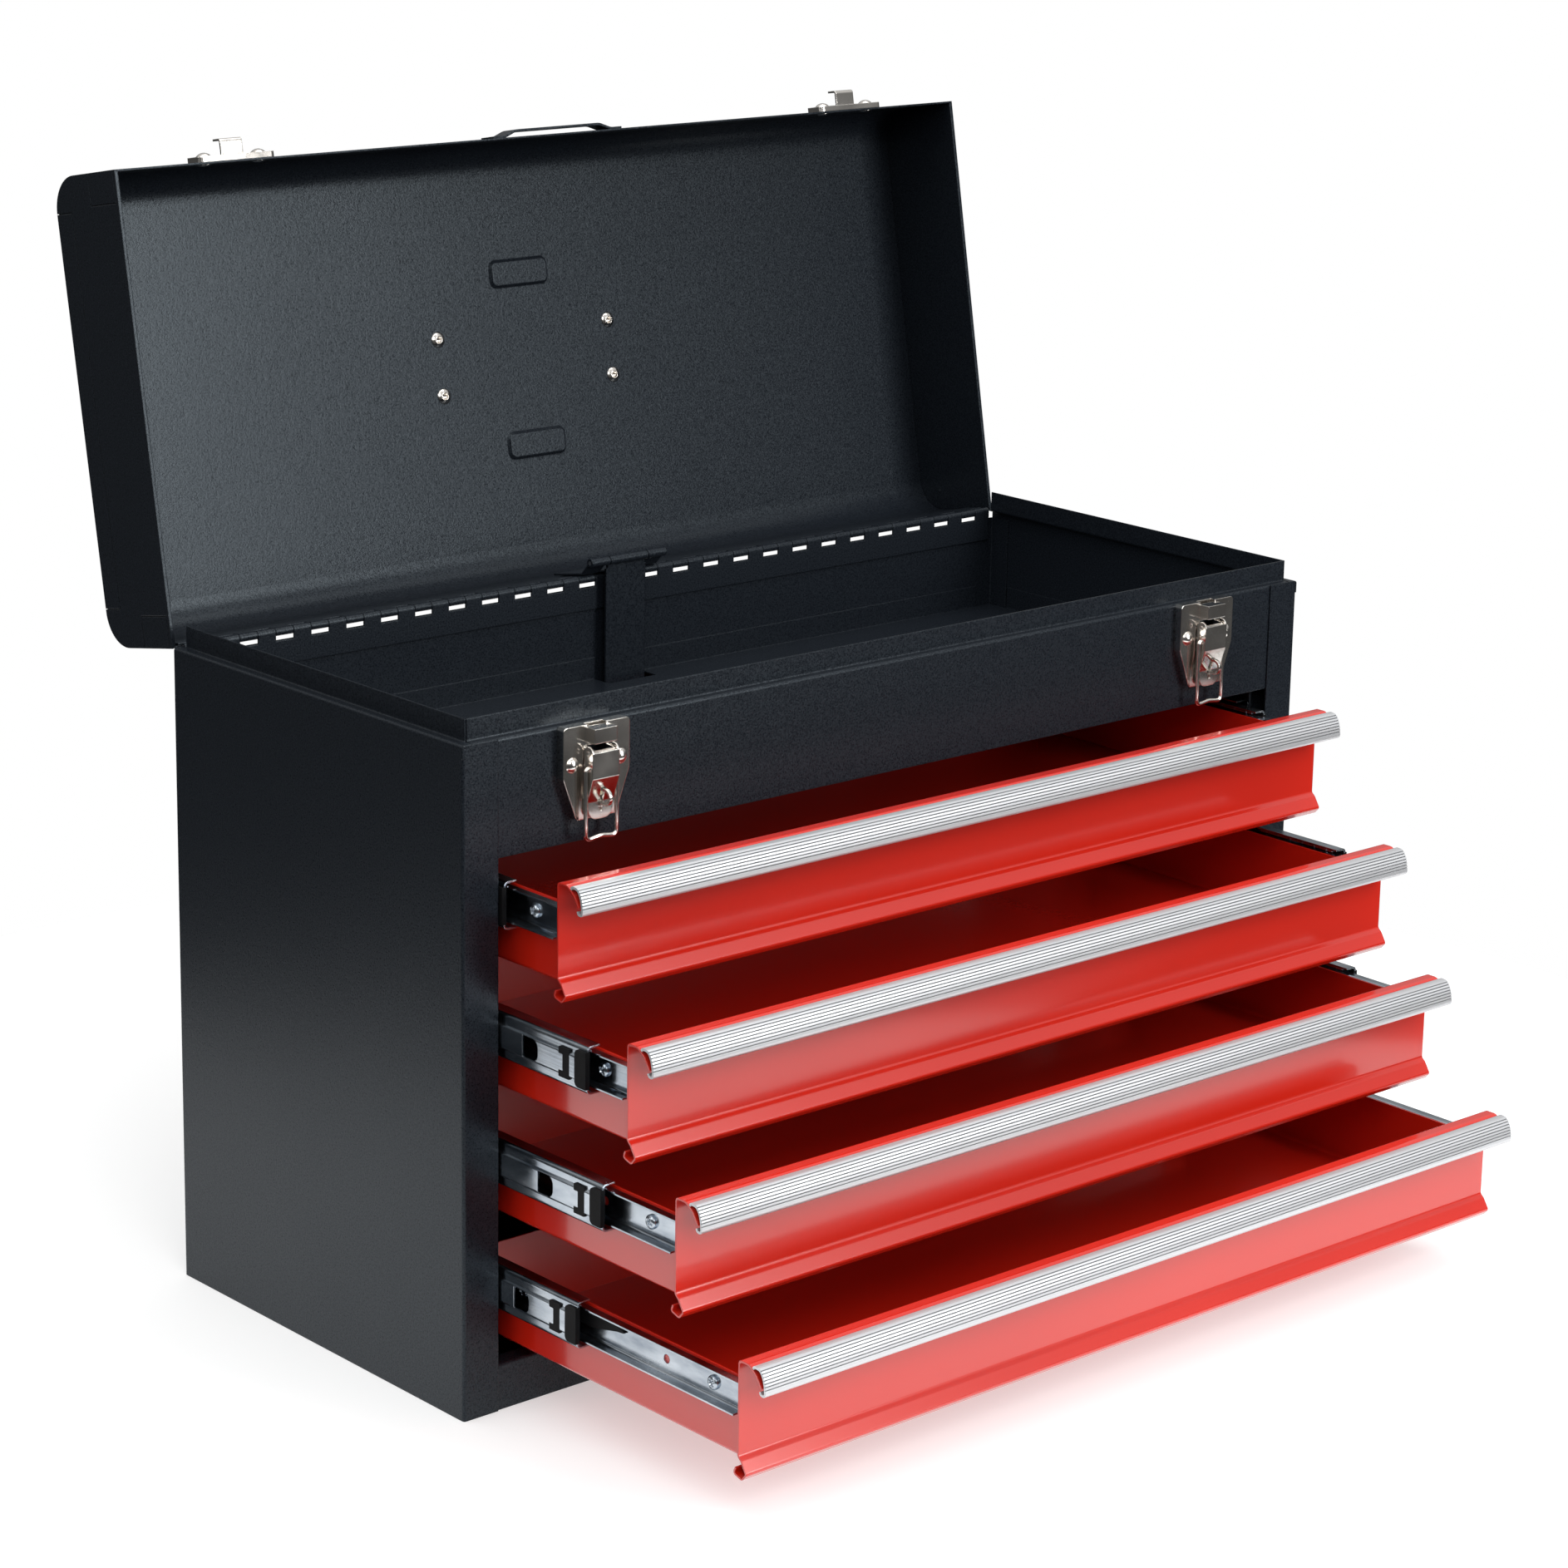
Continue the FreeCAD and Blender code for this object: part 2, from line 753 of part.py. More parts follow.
def lid_strike():
    """Left strike that the latch's wire loop pulls down on."""
    x = -latch_centre
    y = lid_front_y
    low = lid_mouth + strike_rise
    high = low + strike_height
    outline_points = [
        (x - strike_width / 2, low),
        (x + strike_width / 2, low),
        (x + strike_width / 2, high),
        (x - strike_width / 2, high),
    ]
    pan = extrude(outline_points, strike_corner_radius, "y", y - strike_stand, y)
    edge = strike_sheet
    hollow_points = [
        (x - strike_width / 2 + edge, low + edge),
        (x + strike_width / 2 - edge, low + edge),
        (x + strike_width / 2 - edge, high - edge),
        (x - strike_width / 2 + edge, high - edge),
    ]
    hollow = extrude(hollow_points, strike_corner_radius - edge, "y", y - strike_stand + edge, y + overrun)
    pan = pan.cut(hollow)
    hook_low = low + strike_hook_rise - strike_sheet
    hook = strip(
        [
            (y - strike_stand + strike_sheet / 2, hook_low),
            (y - strike_hook_reach, hook_low),
            (y - strike_hook_reach, hook_low + strike_hook_lip),
        ],
        -strike_sheet, "x", x - strike_hook_width / 2, x + strike_hook_width / 2,
    )
    return fused([pan, hook]).cut(strike_rivet_holes())


def strike_rivet_holes():
    """Holes for the rivets that hold the left strike."""
    holes = []
    for side in (-1, 1):
        start = V(
            -latch_centre + side * strike_rivet_half_pitch, lid_front_y - strike_stand - overrun,
            lid_mouth + strike_rise + strike_height / 2,
        )
        holes.append(rod(start, start + V(0, strike_stand + 2 * overrun, 0), latch_rivet_radius + rivet_play))
    return Part.makeCompound(holes)


# Handle
def handle_bracket():
    """Left saddle that holds the end of the handle's rod."""
    x_low = -handle_half_span - bracket_width / 2
    x_high = -handle_half_span + bracket_width / 2
    arch = handle_rod_radius + handle_play + bracket_sheet
    foot = box(
        x_low, x_high, handle_y - bracket_foot, handle_y + bracket_foot, lid_top, lid_top + bracket_sheet,
    )
    stem = box(x_low, x_high, handle_y - arch, handle_y + arch, lid_top, handle_z)
    crown = rod(V(x_low, handle_y, handle_z), V(x_high, handle_y, handle_z), arch)
    whole = fused([foot, stem, crown])
    bore = rod(
        V(x_low - overrun, handle_y, handle_z), V(x_high + overrun, handle_y, handle_z),
        handle_rod_radius + handle_play,
    )
    slit_half = handle_rod_radius - bracket_sheet / 2
    slit = box(
        x_low - overrun, x_high + overrun, handle_y - slit_half, handle_y + slit_half,
        lid_top - overrun, handle_z,
    )
    whole = whole.cut(bore).cut(slit)
    holes = []
    for along in (-handle_rivet_half_pitch, handle_rivet_half_pitch):
        start = V(-handle_half_span, handle_y + along, lid_top - overrun)
        holes.append(rod(start, start + V(0, 0, bracket_sheet + 2 * overrun), rivet_radius + rivet_play))
    return whole.cut(Part.makeCompound(holes))


def lid_rivets():
    """Four hollow rivets through the brackets, and the strikes' four solid ones."""
    pieces = []
    for x in (-handle_half_span, handle_half_span):
        for along in (-handle_rivet_half_pitch, handle_rivet_half_pitch):
            y = handle_y + along
            inside = lid_top - lid_sheet
            outside = lid_top + bracket_sheet
            shank = rod(V(x, y, inside), V(x, y, outside), rivet_radius)
            inner_head = dome(V(x, y, inside), V(0, 0, -1), rivet_head_radius, rivet_head_height)
            outer_head = dome(V(x, y, outside), V(0, 0, 1), rivet_head_radius, rivet_head_height)
            mouth = inside - rivet_head_height
            hollow = rod(V(x, y, mouth - overrun), V(x, y, mouth + rivet_hollow_depth), rivet_hollow_radius)
            pieces.append(fused([shank, inner_head, outer_head]).cut(hollow))
    z = lid_mouth + strike_rise + strike_height / 2
    for side in (-1, 1):
        x = -latch_centre + side * strike_rivet_half_pitch
        front = lid_front_y - strike_stand
        rear = lid_front_y + lid_sheet
        shank = rod(V(x, front, z), V(x, rear, z), latch_rivet_radius)
        outer_head = dome(V(x, front, z), V(0, -1, 0), latch_dome_radius, latch_dome_height)
        inner_head = dome(V(x, rear, z), V(0, 1, 0), latch_dome_radius, latch_dome_height / 2)
        rivet = fused([shank, outer_head, inner_head])
        pieces.append(rivet)
        pieces.append(mirrored(rivet))
    return Part.makeCompound(pieces)


def hung(shape):
    """A handle piece, drawn folded towards the hinge, turned to hang plumb from the open lid."""
    copy = shape.copy()
    copy.rotate(V(0, handle_y, handle_z), V(1, 0, 0), lid_open_angle - quarter_turn_angle)
    return copy


def handle_rod():
    """Bent steel rod of the carrying handle, folded towards the hinge."""
    y = handle_y
    z = handle_z
    grip_y = y + handle_reach
    leg = handle_half_span - handle_leg_inset
    end = handle_half_span + handle_rod_tip
    bend = handle_bend_radius
    points = [
        V(-end, y, z), V(-leg, y, z), V(-leg, grip_y, z),
        V(leg, grip_y, z), V(leg, y, z), V(end, y, z),
    ]
    small = handle_rod_radius + rod_bend_play
    return wire_form(points, [small, bend, bend, small], handle_rod_radius)


def wire_form(points, radii, thickness):
    """Round wire along straight runs joined by bends."""
    edges = []
    start = points[0]
    for i in range(1, len(points) - 1):
        first, middle, last = corner(points[i - 1], points[i], points[i + 1], radii[i - 1])
        if start.distanceToPoint(first) > touching:
            edges.append(Part.makeLine(start, first))
        edges.append(Part.Arc(first, middle, last).toShape())
        start = last
    edges.append(Part.makeLine(start, points[-1]))
    path = Part.Wire(edges)
    way = (points[1] - points[0]).normalize()
    section = Part.Wire([Part.makeCircle(thickness, points[0], way)])
    return path.makePipeShell([section], True, True)


def handle_grip():
    """Moulded grip round the handle's rod, ribbed for the hand."""
    y = handle_y + handle_reach
    z = handle_z
    length = grip_half_length
    body = rod(V(-length, y, z), V(length, y, z), grip_end_radius)
    rings = [body]
    span = 2 * length / grip_ribs
    for i in range(grip_ribs):
        middle = -length + span * (2 * i + 1) / 2
        reach = (span - grip_rib_width / 2) / 2
        swell = rod(V(middle - reach, y, z), V(middle + reach, y, z), grip_radius)
        rings.append(swell.makeFillet(grip_rib_width / 4, swell.Edges[:1] + swell.Edges[2:3]))
    grip = fused(rings)
    bore = rod(V(-length - overrun, y, z), V(length + overrun, y, z), handle_rod_radius)
    return grip.cut(bore)


# Latches
def plate_outline(inset):
    """Half-shield outline of the latch plate, drawn in by the inset."""
    top = shoulder_height - inset
    shoulder = shoulder_height - plate_shoulder_drop
    foot = shoulder_height - plate_length + inset
    wide = plate_width / 2 - inset
    narrow = plate_foot_width / 2 - inset
    return [
        (-latch_centre - wide, top), (-latch_centre - wide, shoulder),
        (-latch_centre - narrow, foot), (-latch_centre + narrow, foot),
        (-latch_centre + wide, shoulder), (-latch_centre + wide, top),
    ]


def latch_plate():
    """Left latch's pressed base with its bridge, pin ears and padlock eye."""
    x = -latch_centre
    radii = [plate_corner_radius, plate_corner_radius * 2, plate_corner_radius,
             plate_corner_radius, plate_corner_radius * 2, plate_corner_radius]
    pan = extrude(plate_outline(0), radii, "y", plate_y, apron_y)
    inner = [max(radius - plate_sheet, 0) for radius in radii]
    hollow = extrude(plate_outline(plate_sheet), inner, "y", plate_y + plate_sheet, apron_y + overrun)
    pan = pan.cut(hollow)
    trough_back = plate_y + trough_depth
    trough_foot = lever_z + ear_radius + plate_sheet
    trough_half = ear_half_gap + plate_sheet
    trough = box(
        x - trough_half, x + trough_half, plate_y, trough_back + plate_sheet, trough_foot, shoulder_height,
    )
    trough_space = box(
        x - ear_half_gap, x + ear_half_gap, plate_y - overrun, trough_back,
        trough_foot + plate_sheet, shoulder_height + overrun,
    )
    pan = pan.fuse(trough).cut(trough_space)
    ears = []
    for side in (-1, 1):
        low, high = sorted((x + side * ear_half_gap, x + side * (ear_half_gap + ear_sheet)))
        ear = box(low, high, lever_y, plate_y + plate_sheet / 2, lever_z - ear_radius, lever_z + ear_radius)
        ears.append(fused([ear, rod(V(low, lever_y, lever_z), V(high, lever_y, lever_z), ear_radius)]))
    hat_low = lever_z + hat_above_pivot
    hat_half = ear_half_gap + ear_sheet
    hat = box(
        x - hat_half, x + hat_half, plate_y - hat_stand, plate_y + plate_sheet / 2,
        hat_low, hat_low + hat_height,
    )
    hat = hat.cut(box(
        x - ear_half_gap, x + ear_half_gap, plate_y - hat_stand + ear_sheet, plate_y + plate_sheet,
        hat_low - overrun, hat_low + hat_height - ear_sheet,
    ))
    window = box(
        x - ear_half_gap, x + ear_half_gap, plate_y - overrun, plate_y + plate_sheet + overrun,
        lever_z - ear_radius, trough_foot,
    )
    whole = fused([pan] + ears + [hat, padlock_eye()]).cut(window)
    pin = rod(V(x - plate_width, lever_y, lever_z), V(x + plate_width, lever_y, lever_z), lever_pin_radius)
    whole = whole.cut(pin)
    holes = []
    for side in (-1, 1):
        start = V(x + side * latch_rivet_half_pitch, plate_y - overrun, shoulder_height - latch_rivet_drop)
        holes.append(rod(start, start + V(0, plate_sheet + overrun, 0), latch_rivet_radius))
    return whole.cut(Part.makeCompound(holes))


def padlock_eye():
    """Flat loop on the left latch plate, thin across the box, for a padlock's shackle."""
    x = -latch_centre
    middle = shoulder_height - eye_drop
    low = middle - eye_height / 2
    high = middle + eye_height / 2
    tip = plate_y - eye_reach
    outer = extrude(
        [(tip, low), (plate_y + plate_sheet / 2, low), (plate_y + plate_sheet / 2, high), (tip, high)],
        [eye_height * room_share, 0.0, 0.0, eye_height * room_share],
        "x", x - eye_thickness / 2, x + eye_thickness / 2,
    )
    round_in = (eye_height / 2 - eye_rim) * 2 * room_share
    inner = extrude(
        [
            (tip + eye_rim, low + eye_rim), (plate_y - eye_rim, low + eye_rim),
            (plate_y - eye_rim, high - eye_rim), (tip + eye_rim, high - eye_rim),
        ],
        round_in, "x", x - eye_thickness, x + eye_thickness,
    )
    return outer.cut(inner)


def latch_fasteners():
    """Domed rivets of the latch plates and the levers' pivot pins."""
    pieces = []
    z = shoulder_height - latch_rivet_drop
    for side in (-1, 1):
        x = -latch_centre + side * latch_rivet_half_pitch
        head = dome(V(x, plate_y, z), V(0, -1, 0), latch_dome_radius, latch_dome_height)
        shank = rod(V(x, plate_y, z), V(x, apron_y, z), latch_rivet_radius)
        pieces.append(fused([head, shank]))
    reach = lever_half_width
    x = -latch_centre
    pieces.append(rod(V(x - reach, lever_y, lever_z), V(x + reach, lever_y, lever_z), lever_pin_radius))
    return Part.makeCompound(pieces + [mirrored(piece) for piece in pieces])


def latch_lever():
    """Left latch's hand lever: a channel that ends in a round tab, slotted over the padlock eye."""
    x = -latch_centre
    wide = lever_half_width
    out = lever_y - lever_round
    back = plate_y - lever_back_clear
    knee = lever_z - lever_wall_length
    toe = knee - lever_slope_length
    tab_y = out + lever_slope_depth
    foot = toe - lever_tab_length
    side = extrude(
        [
            (back, lever_z), (back, knee), (tab_y + lever_sheet / 2, toe),
            (tab_y, toe), (out, knee), (out, lever_z),
        ],
        0, "x", x - wide, x + wide,
    )
    top = rod(V(x - wide, lever_y, lever_z), V(x + wide, lever_y, lever_z), lever_round)
    block = fused([side, top])
    gap = wide - lever_sheet
    hollow_low = [
        (out + lever_sheet, lever_z + lever_round + overrun), (out + lever_sheet, knee),
        (tab_y + lever_sheet, toe), (tab_y + lever_sheet, toe - overrun),
        (back + overrun, toe - overrun), (back + overrun, lever_z + lever_round + overrun),
    ]
    block = block.cut(extrude(hollow_low, 0, "x", x - gap, x + gap))
    block = block.cut(box(
        x - gap, x + gap, out - overrun, back + overrun,
        lever_z + lever_web_rise, lever_z + lever_round + overrun,
    ))
    tab = extrude(
        [
            (x - lever_tab_half_width, toe + lever_sheet), (x - lever_tab_half_width, foot),
            (x + lever_tab_half_width, foot), (x + lever_tab_half_width, toe + lever_sheet),
        ],
        [0.0, 2 * lever_tab_half_width * room_share, 2 * lever_tab_half_width * room_share, 0.0],
        "y", tab_y, tab_y + lever_sheet,
    )
    whole = fused([block, tab])
    middle = shoulder_height - eye_drop
    slot_half = eye_thickness / 2 + eye_slot_play
    far = math.hypot(plate_y - lever_y, middle - eye_height / 2 - lever_z) + eye_slot_play
    near = lever_z - middle - eye_height / 2 - eye_slot_play
    slot = box(x - slot_half, x + slot_half, out - overrun, back + overrun, lever_z - far, lever_z - near)
    pin = rod(V(x - plate_width, lever_y, lever_z), V(x + plate_width, lever_y, lever_z),
              lever_pin_radius + lever_pin_play)
    bail_hole = rod(V(x - plate_width, bail_y, bail_z), V(x + plate_width, bail_y, bail_z),
                    bail_wire_radius + bail_play)
    tab_hole_z = foot + lever_tab_hole_up
    tab_hole = rod(
        V(x, tab_y - overrun, tab_hole_z), V(x, tab_y + overrun, tab_hole_z), lever_tab_hole_radius,
    )
    return whole.cut(Part.makeCompound([slot, pin, bail_hole, tab_hole]))


def latch_bail():
    """Left latch's wire loop, hanging from the lever."""
    x = -latch_centre
    span = bail_half_span
    end = bail_half_span - bail_end_inset
    low = bail_z - bail_length
    bow = low + bail_bow
    points = [
        V(x - end, bail_y, bail_z), V(x - span, bail_y, bail_z), V(x - span, bail_y, low),
        V(x, bail_y, bow),
        V(x + span, bail_y, low), V(x + span, bail_y, bail_z), V(x + end, bail_y, bail_z),
    ]
    tight = bail_wire_radius * (1 + room_share / 2)
    radii = [tight, bail_bend_radius, span, bail_bend_radius, tight]
    return wire_form(points, radii, bail_wire_radius)


# Drawers
def drawer_front(top, face):
    """Folded front of a drawer: the fold that holds the pull, the face and the rolled lip."""
    back = face + drawer_sheet
    foot = top - front_face_height
    points = [
        (face - fold_tip_out, top - fold_tip_drop),
        (face - fold_bend_out, top - fold_bend_drop),
        (face - fold_flat, top),
        (back, top),
        (back, foot),
        (back - lip_start_out, foot - lip_start_drop),
        (back - lip_nose_out, foot - lip_nose_drop),
        (back - lip_bottom_out, foot - lip_bottom_drop),
        (back + lip_heel_in, foot - lip_heel_drop),
        (back + lip_end_in, foot - lip_end_drop),
    ]
    radii = [fold_bend_drop, fold_bend_drop, drawer_fold_radius, lip_radius, lip_radius / 2,
             lip_radius / 2, lip_radius / 2, lip_radius / 2]
    width = drawer_front_width / 2
    return strip(points, -drawer_sheet, "x", -width, width, radii)


def drawer_pull(top, face):
    """Ribbed aluminium pull whose foot stands on the front's fold and whose nose curls round it."""
    slope = V(fold_flat - fold_bend_out, -fold_bend_drop, 0)
    square = V(-fold_bend_drop, fold_bend_out - fold_flat, 0).normalize()
    foot = V(face - fold_flat, top, 0) + slope * pull_foot_share
    head = foot + square * pull_foot_height
    points = [
        (foot.x, foot.y),
        (head.x, head.y),
        (face - pull_brow_out, top - pull_brow_drop),
        (face - pull_nose_out, top - pull_nose_drop),
        (face - pull_chin_out, top - pull_chin_drop),
        (face - pull_curl_out, top - pull_curl_drop),
        (face - pull_curl_tip_out, top - pull_curl_tip_drop),
    ]
    width = drawer_front_width / 2
    small = pull_round / 2
    pull = strip(points, pull_wall, "x", -width, width, [small, pull_round, pull_round, small, small])
    brow = V(-width - overrun, face - pull_brow_out, top - pull_brow_drop)
    nose = V(-width - overrun, face - pull_nose_out, top - pull_nose_drop)
    length = V(drawer_front_width + 2 * overrun, 0, 0)
    grooves = []
    for i in range(pull_grooves):
        share = pull_groove_share * (i + 1) / pull_grooves
        start = brow + (nose - brow) * share
        grooves.append(rod(start, start + length, pull_groove))
    return pull.cut(Part.makeCompound(grooves))


def drawer_pan(top, face):
    """Tray of a drawer, with its lock catch behind."""
    front = face + drawer_sheet
    back = back_y - pan_back_inset + face - drawer_face
    low = top - pan_bottom_drop
    high = top - pan_top_drop
    x = pan_width / 2
    trough = strip(
        [(-x, high), (-x, low), (x, low), (x, high)], drawer_sheet, "y", front, back, pan_fold_radius,
    )
    bend = pan_fold_radius + drawer_sheet
    wall = [(-x, high), (-x, low), (x, low), (x, high)]
    rear = extrude(wall, [0.0, bend, bend, 0.0], "y", back - drawer_sheet, back)
    fore = extrude(wall, [0.0, bend, bend, 0.0], "y", front, front + drawer_sheet)
    shelf = top - catch_drop
    catch = strip(
        [(back, shelf), (back + catch_reach, shelf), (back + catch_reach, shelf + catch_lip)],
        bar_sheet, "x", -catch_half_width, catch_half_width,
    )
    foot = box(-catch_half_width, catch_half_width, back, back + bar_sheet, shelf, shelf + catch_lip)
    pan = fused([trough, rear, fore, catch, foot])
    holes = []
    for side in (-1, 1):
        start = V(side * pan_hole_from_side, front + pan_hole_from_front, low - overrun)
        holes.append(rod(start, start + V(0, 0, drawer_sheet + 2 * overrun), pan_hole_radius))
    return pan.cut(Part.makeCompound(holes))


def channel(height, depth, thickness, x, front, length, middle):
    """Slide member: a web whose outer face is at x, with two flanges towards the drawer."""
    points = [
        (x + depth, middle + height / 2), (x, middle + height / 2),
        (x, middle - height / 2), (x + depth, middle - height / 2),
    ]
    return strip(points, thickness, "y", front, front + length, slide_fold_radius)


# Slides, all drawn on the left side
def cabinet_slides():
    """Outer members, fixed to the posts."""
    pieces = []
    for top in drawer_tops:
        centre = top - slide_centre_drop
        member = channel(
            slide_outer_height, slide_outer_depth, slide_outer_sheet,
            -slide_x, slide_front, slide_length, centre,
        )
        member = member.cut(Part.makeCompound([post_screw_hole(y, centre) for y in post_middles()]))
        pieces.append(member)
        pieces.append(mirrored(member))
    return Part.makeCompound(pieces)


def middle_slides(top, travel):
    """Middle members of one drawer, stepped out along the middle and pierced, and their ball rows."""
    centre = top - slide_centre_drop
    front = slide_front + slide_middle_setback - travel
    web = slide_middle_x
    recessed = web + slide_step_depth
    high = slide_middle_height / 2
    points = [
        (web + slide_middle_depth, centre + high), (recessed, centre + high),
        (recessed, centre + slide_step_end), (web, centre + slide_step_start),
        (web, centre - slide_step_start), (recessed, centre - slide_step_end),
        (recessed, centre - high), (web + slide_middle_depth, centre - high),
    ]
    bends = [slide_fold_radius] + [slide_step_radius] * 4 + [slide_fold_radius]
    member = strip(points, slide_middle_sheet, "y", front, front + slide_middle_length, bends)
    window_back = front + window_from_front + window_length
    window = web_piece(
        front + window_from_front, window_back, centre, window_height, [slide_step_radius, window_round],
    )
    member = member.cut(window).cut(end_stop(front, centre, overrun)).cut(clip(front, centre))
    return Part.makeCompound([member, mirrored(member)] + slide_balls(top, travel))


def web_piece(low, high, centre, height, corners, reach=overrun):
    """Plug through the left middle member's web; corners gives its rear and front corner radii."""
    tall = height / 2
    rear, fore = corners
    points = [
        (low, centre - tall), (high, centre - tall), (high, centre + tall), (low, centre + tall),
    ]
    return extrude(points, [fore, rear, rear, fore], "x", slide_middle_x, slide_middle_x + reach)


def ball_row(x, surface, way, room, first):
    """Balls in their retaining strip, standing on a flange of the middle member and facing up or down."""
    radius = (room - ball_play) / 2
    z = surface + way * radius
    span = ball_pitch * (ball_count - 1)
    wide = ball_strip_width / 2
    tall = ball_strip_height / 2
    low = first - ball_pitch / 2
    high = first + span + ball_pitch / 2
    pieces = [box(x - wide, x + wide, low, high, z - tall, z + tall)]
    for i in range(ball_count):
        pieces.append(Part.makeSphere(radius, V(x, first + ball_pitch * i, z)))
    return fused(pieces)


def slide_balls(top, travel):
    """Ball rows that run with one drawer's middle members, inside and outside their flanges."""
    centre = top - slide_centre_drop
    front = slide_front + slide_middle_setback - travel
    back = front + slide_middle_length
    inner_tip = -pan_width / 2 - slide_inner_depth
    outer_tip = slide_outer_depth - slide_x
    x = (inner_tip + outer_tip) / 2
    inside = slide_middle_height / 2 - slide_middle_sheet
    inside_room = inside - slide_inner_height / 2
    outside = slide_middle_height / 2
    outside_room = slide_outer_height / 2 - slide_outer_sheet - outside
    first = front + ball_from_end
    last = back - ball_from_end - ball_pitch * (ball_count - 1)
    pieces = []
    for way in (-1, 1):
        pieces.append(ball_row(x, centre + way * inside, -way, inside_room, first))
        pieces.append(ball_row(x, centre + way * outside, way, outside_room, last))
    return pieces + [mirrored(piece) for piece in pieces]


def end_stop(front, centre, ahead=0):
    """Stop that closes the front end of the left middle member, drawn further ahead for its opening."""
    back = front + end_stop_length
    return web_piece(front - ahead, back, centre, end_stop_height, [end_stop_round, 0], clip_depth)


def clip(front, centre):
    """Hooked clip that fills its opening in the left middle member."""
    low = front + clip_from_front
    knee = low + clip_bar
    back = knee + clip_hook
    tall = clip_height / 2
    inside = tall - clip_hook_height
    points = [
        (low, centre - tall), (back, centre - tall), (back, centre - inside), (knee, centre - inside),
        (knee, centre + inside), (back, centre + inside), (back, centre + tall), (low, centre + tall),
    ]
    return extrude(points, slide_step_radius, "x", slide_middle_x, slide_middle_x + clip_depth)


def slide_clips(top, travel):
    """Black clip and end stop on the front of each middle member."""
    centre = top - slide_centre_drop
    front = slide_front + slide_middle_setback - travel
    pieces = [clip(front, centre), end_stop(front, centre)]
    return Part.makeCompound(pieces + [mirrored(piece) for piece in pieces])


def inner_slides(top, face):
    """Inner members, screwed to the drawer's sides."""
    inner = pan_width / 2
    centre = top - slide_centre_drop
    front = face + slide_front_clear
    back = front + slide_inner_length
    high = centre + slide_inner_height / 2
    low = centre - slide_inner_height / 2
    points = [
        (-inner - slide_inner_depth, high), (-inner, high), (-inner, low), (-inner - slide_inner_depth, low),
    ]
    member = strip(points, -slide_inner_sheet, "y", front, back, slide_fold_radius)
    hole_y = front + slide_hole_from_front
    hole = rod(V(-inner - overrun, hole_y, centre), V(-inner + overrun, hole_y, centre), slide_hole_radius)
    screw_holes = [screw_hole(y, centre) for y in drawer_screw_rows(face)]
    notch = box(
        -inner - slide_inner_depth - overrun, -inner + touching, front - overrun, front + slide_notch_length,
        low - overrun, centre,
    )
    return both_sides(member.cut(Part.makeCompound([hole, notch] + screw_holes)))


def drawer_screw_rows(face):
    """Places of the two screws that hold an inner member."""
    front = face + slide_front_clear
    return [front + drawer_screw_from_front, front + slide_inner_length - drawer_screw_from_back]


def screw_hole(y, centre):
    """Hole for one screw through the left inner member and the drawer's side."""
    inner = pan_width / 2
    return rod(V(-inner - overrun, y, centre), V(-inner + overrun, y, centre), screw_radius)


def screw_head(seat, way):
    """Round head with a straight rim and a low crown."""
    rim = Part.makeCylinder(screw_head_radius, screw_head_rim, seat, way)
    return fused([rim, dome(seat + way * screw_head_rim, way, screw_head_radius, screw_head_crown)])


def nut(seat, middle_y, middle_z):
    """Six-sided nut, standing inwards from the drawer's left wall."""
    reach = nut_across / math.sqrt(3)
    turns = [math.pi * i / 3 for i in range(6)]
    points = [(middle_y + reach * math.cos(turn), middle_z + reach * math.sin(turn)) for turn in turns]
    return extrude(points, 0, "x", seat, seat + nut_height)


def drawer_screws(top, face):
    """Screws that hold the inner members, their nuts inside the drawer."""
    inner = pan_width / 2
    centre = top - slide_centre_drop
    pieces = []
    for y in drawer_screw_rows(face):
        web = -inner - slide_inner_sheet
        wall = -inner + drawer_sheet
        shank = rod(V(web, y, centre), V(wall + nut_height + screw_tip, y, centre), screw_radius)
        head = screw_head(V(web, y, centre), V(-1, 0, 0))
        screw = fused([shank, head, nut(wall, y, centre)])
        pieces.append(screw)
        pieces.append(mirrored(screw))
    return Part.makeCompound(pieces)


def slide_posts():
    """Upright channels inside the side walls that carry the slides."""
    web = slide_x
    pieces = []
    for middle in post_middles():
        low = middle - slide_post_depth / 2
        high = middle + slide_post_depth / 2
        post = strip(
            [(-post_x, low), (-web, low), (-web, high), (-post_x, high)],
            sheet, "z", sheet, tray_floor_height,
        )
        for top in drawer_tops:
            post = post.cut(post_screw_hole(middle, top - slide_centre_drop))
        pieces.append(post)
        pieces.append(mirrored(post))
    return Part.makeCompound(pieces)


def post_middles():
    """Places of the front and rear posts' middles."""
    front = front_y + slide_post_front_inset + slide_post_depth / 2
    back = back_y - slide_post_back_inset - slide_post_depth / 2
    return [front, back]


def post_screw_hole(y, centre):
    """Clearance for one screw through an outer member and its post."""
    return rod(V(-slide_x - overrun, y, centre), V(-slide_x + overrun, y, centre), screw_radius)


def slide_screws():
    """Screws that hold the outer members to the posts."""
    pieces = []
    for y in post_middles():
        for top in drawer_tops:
            centre = top - slide_centre_drop
            outer_face = -slide_x - sheet
            inner_face = -slide_x + slide_outer_sheet
            shank = rod(V(outer_face, y, centre), V(inner_face, y, centre), screw_radius)
            screw = fused([shank, screw_head(V(outer_face, y, centre), V(-1, 0, 0))])
            pieces.append(screw)
            pieces.append(mirrored(screw))
    return Part.makeCompound(pieces)


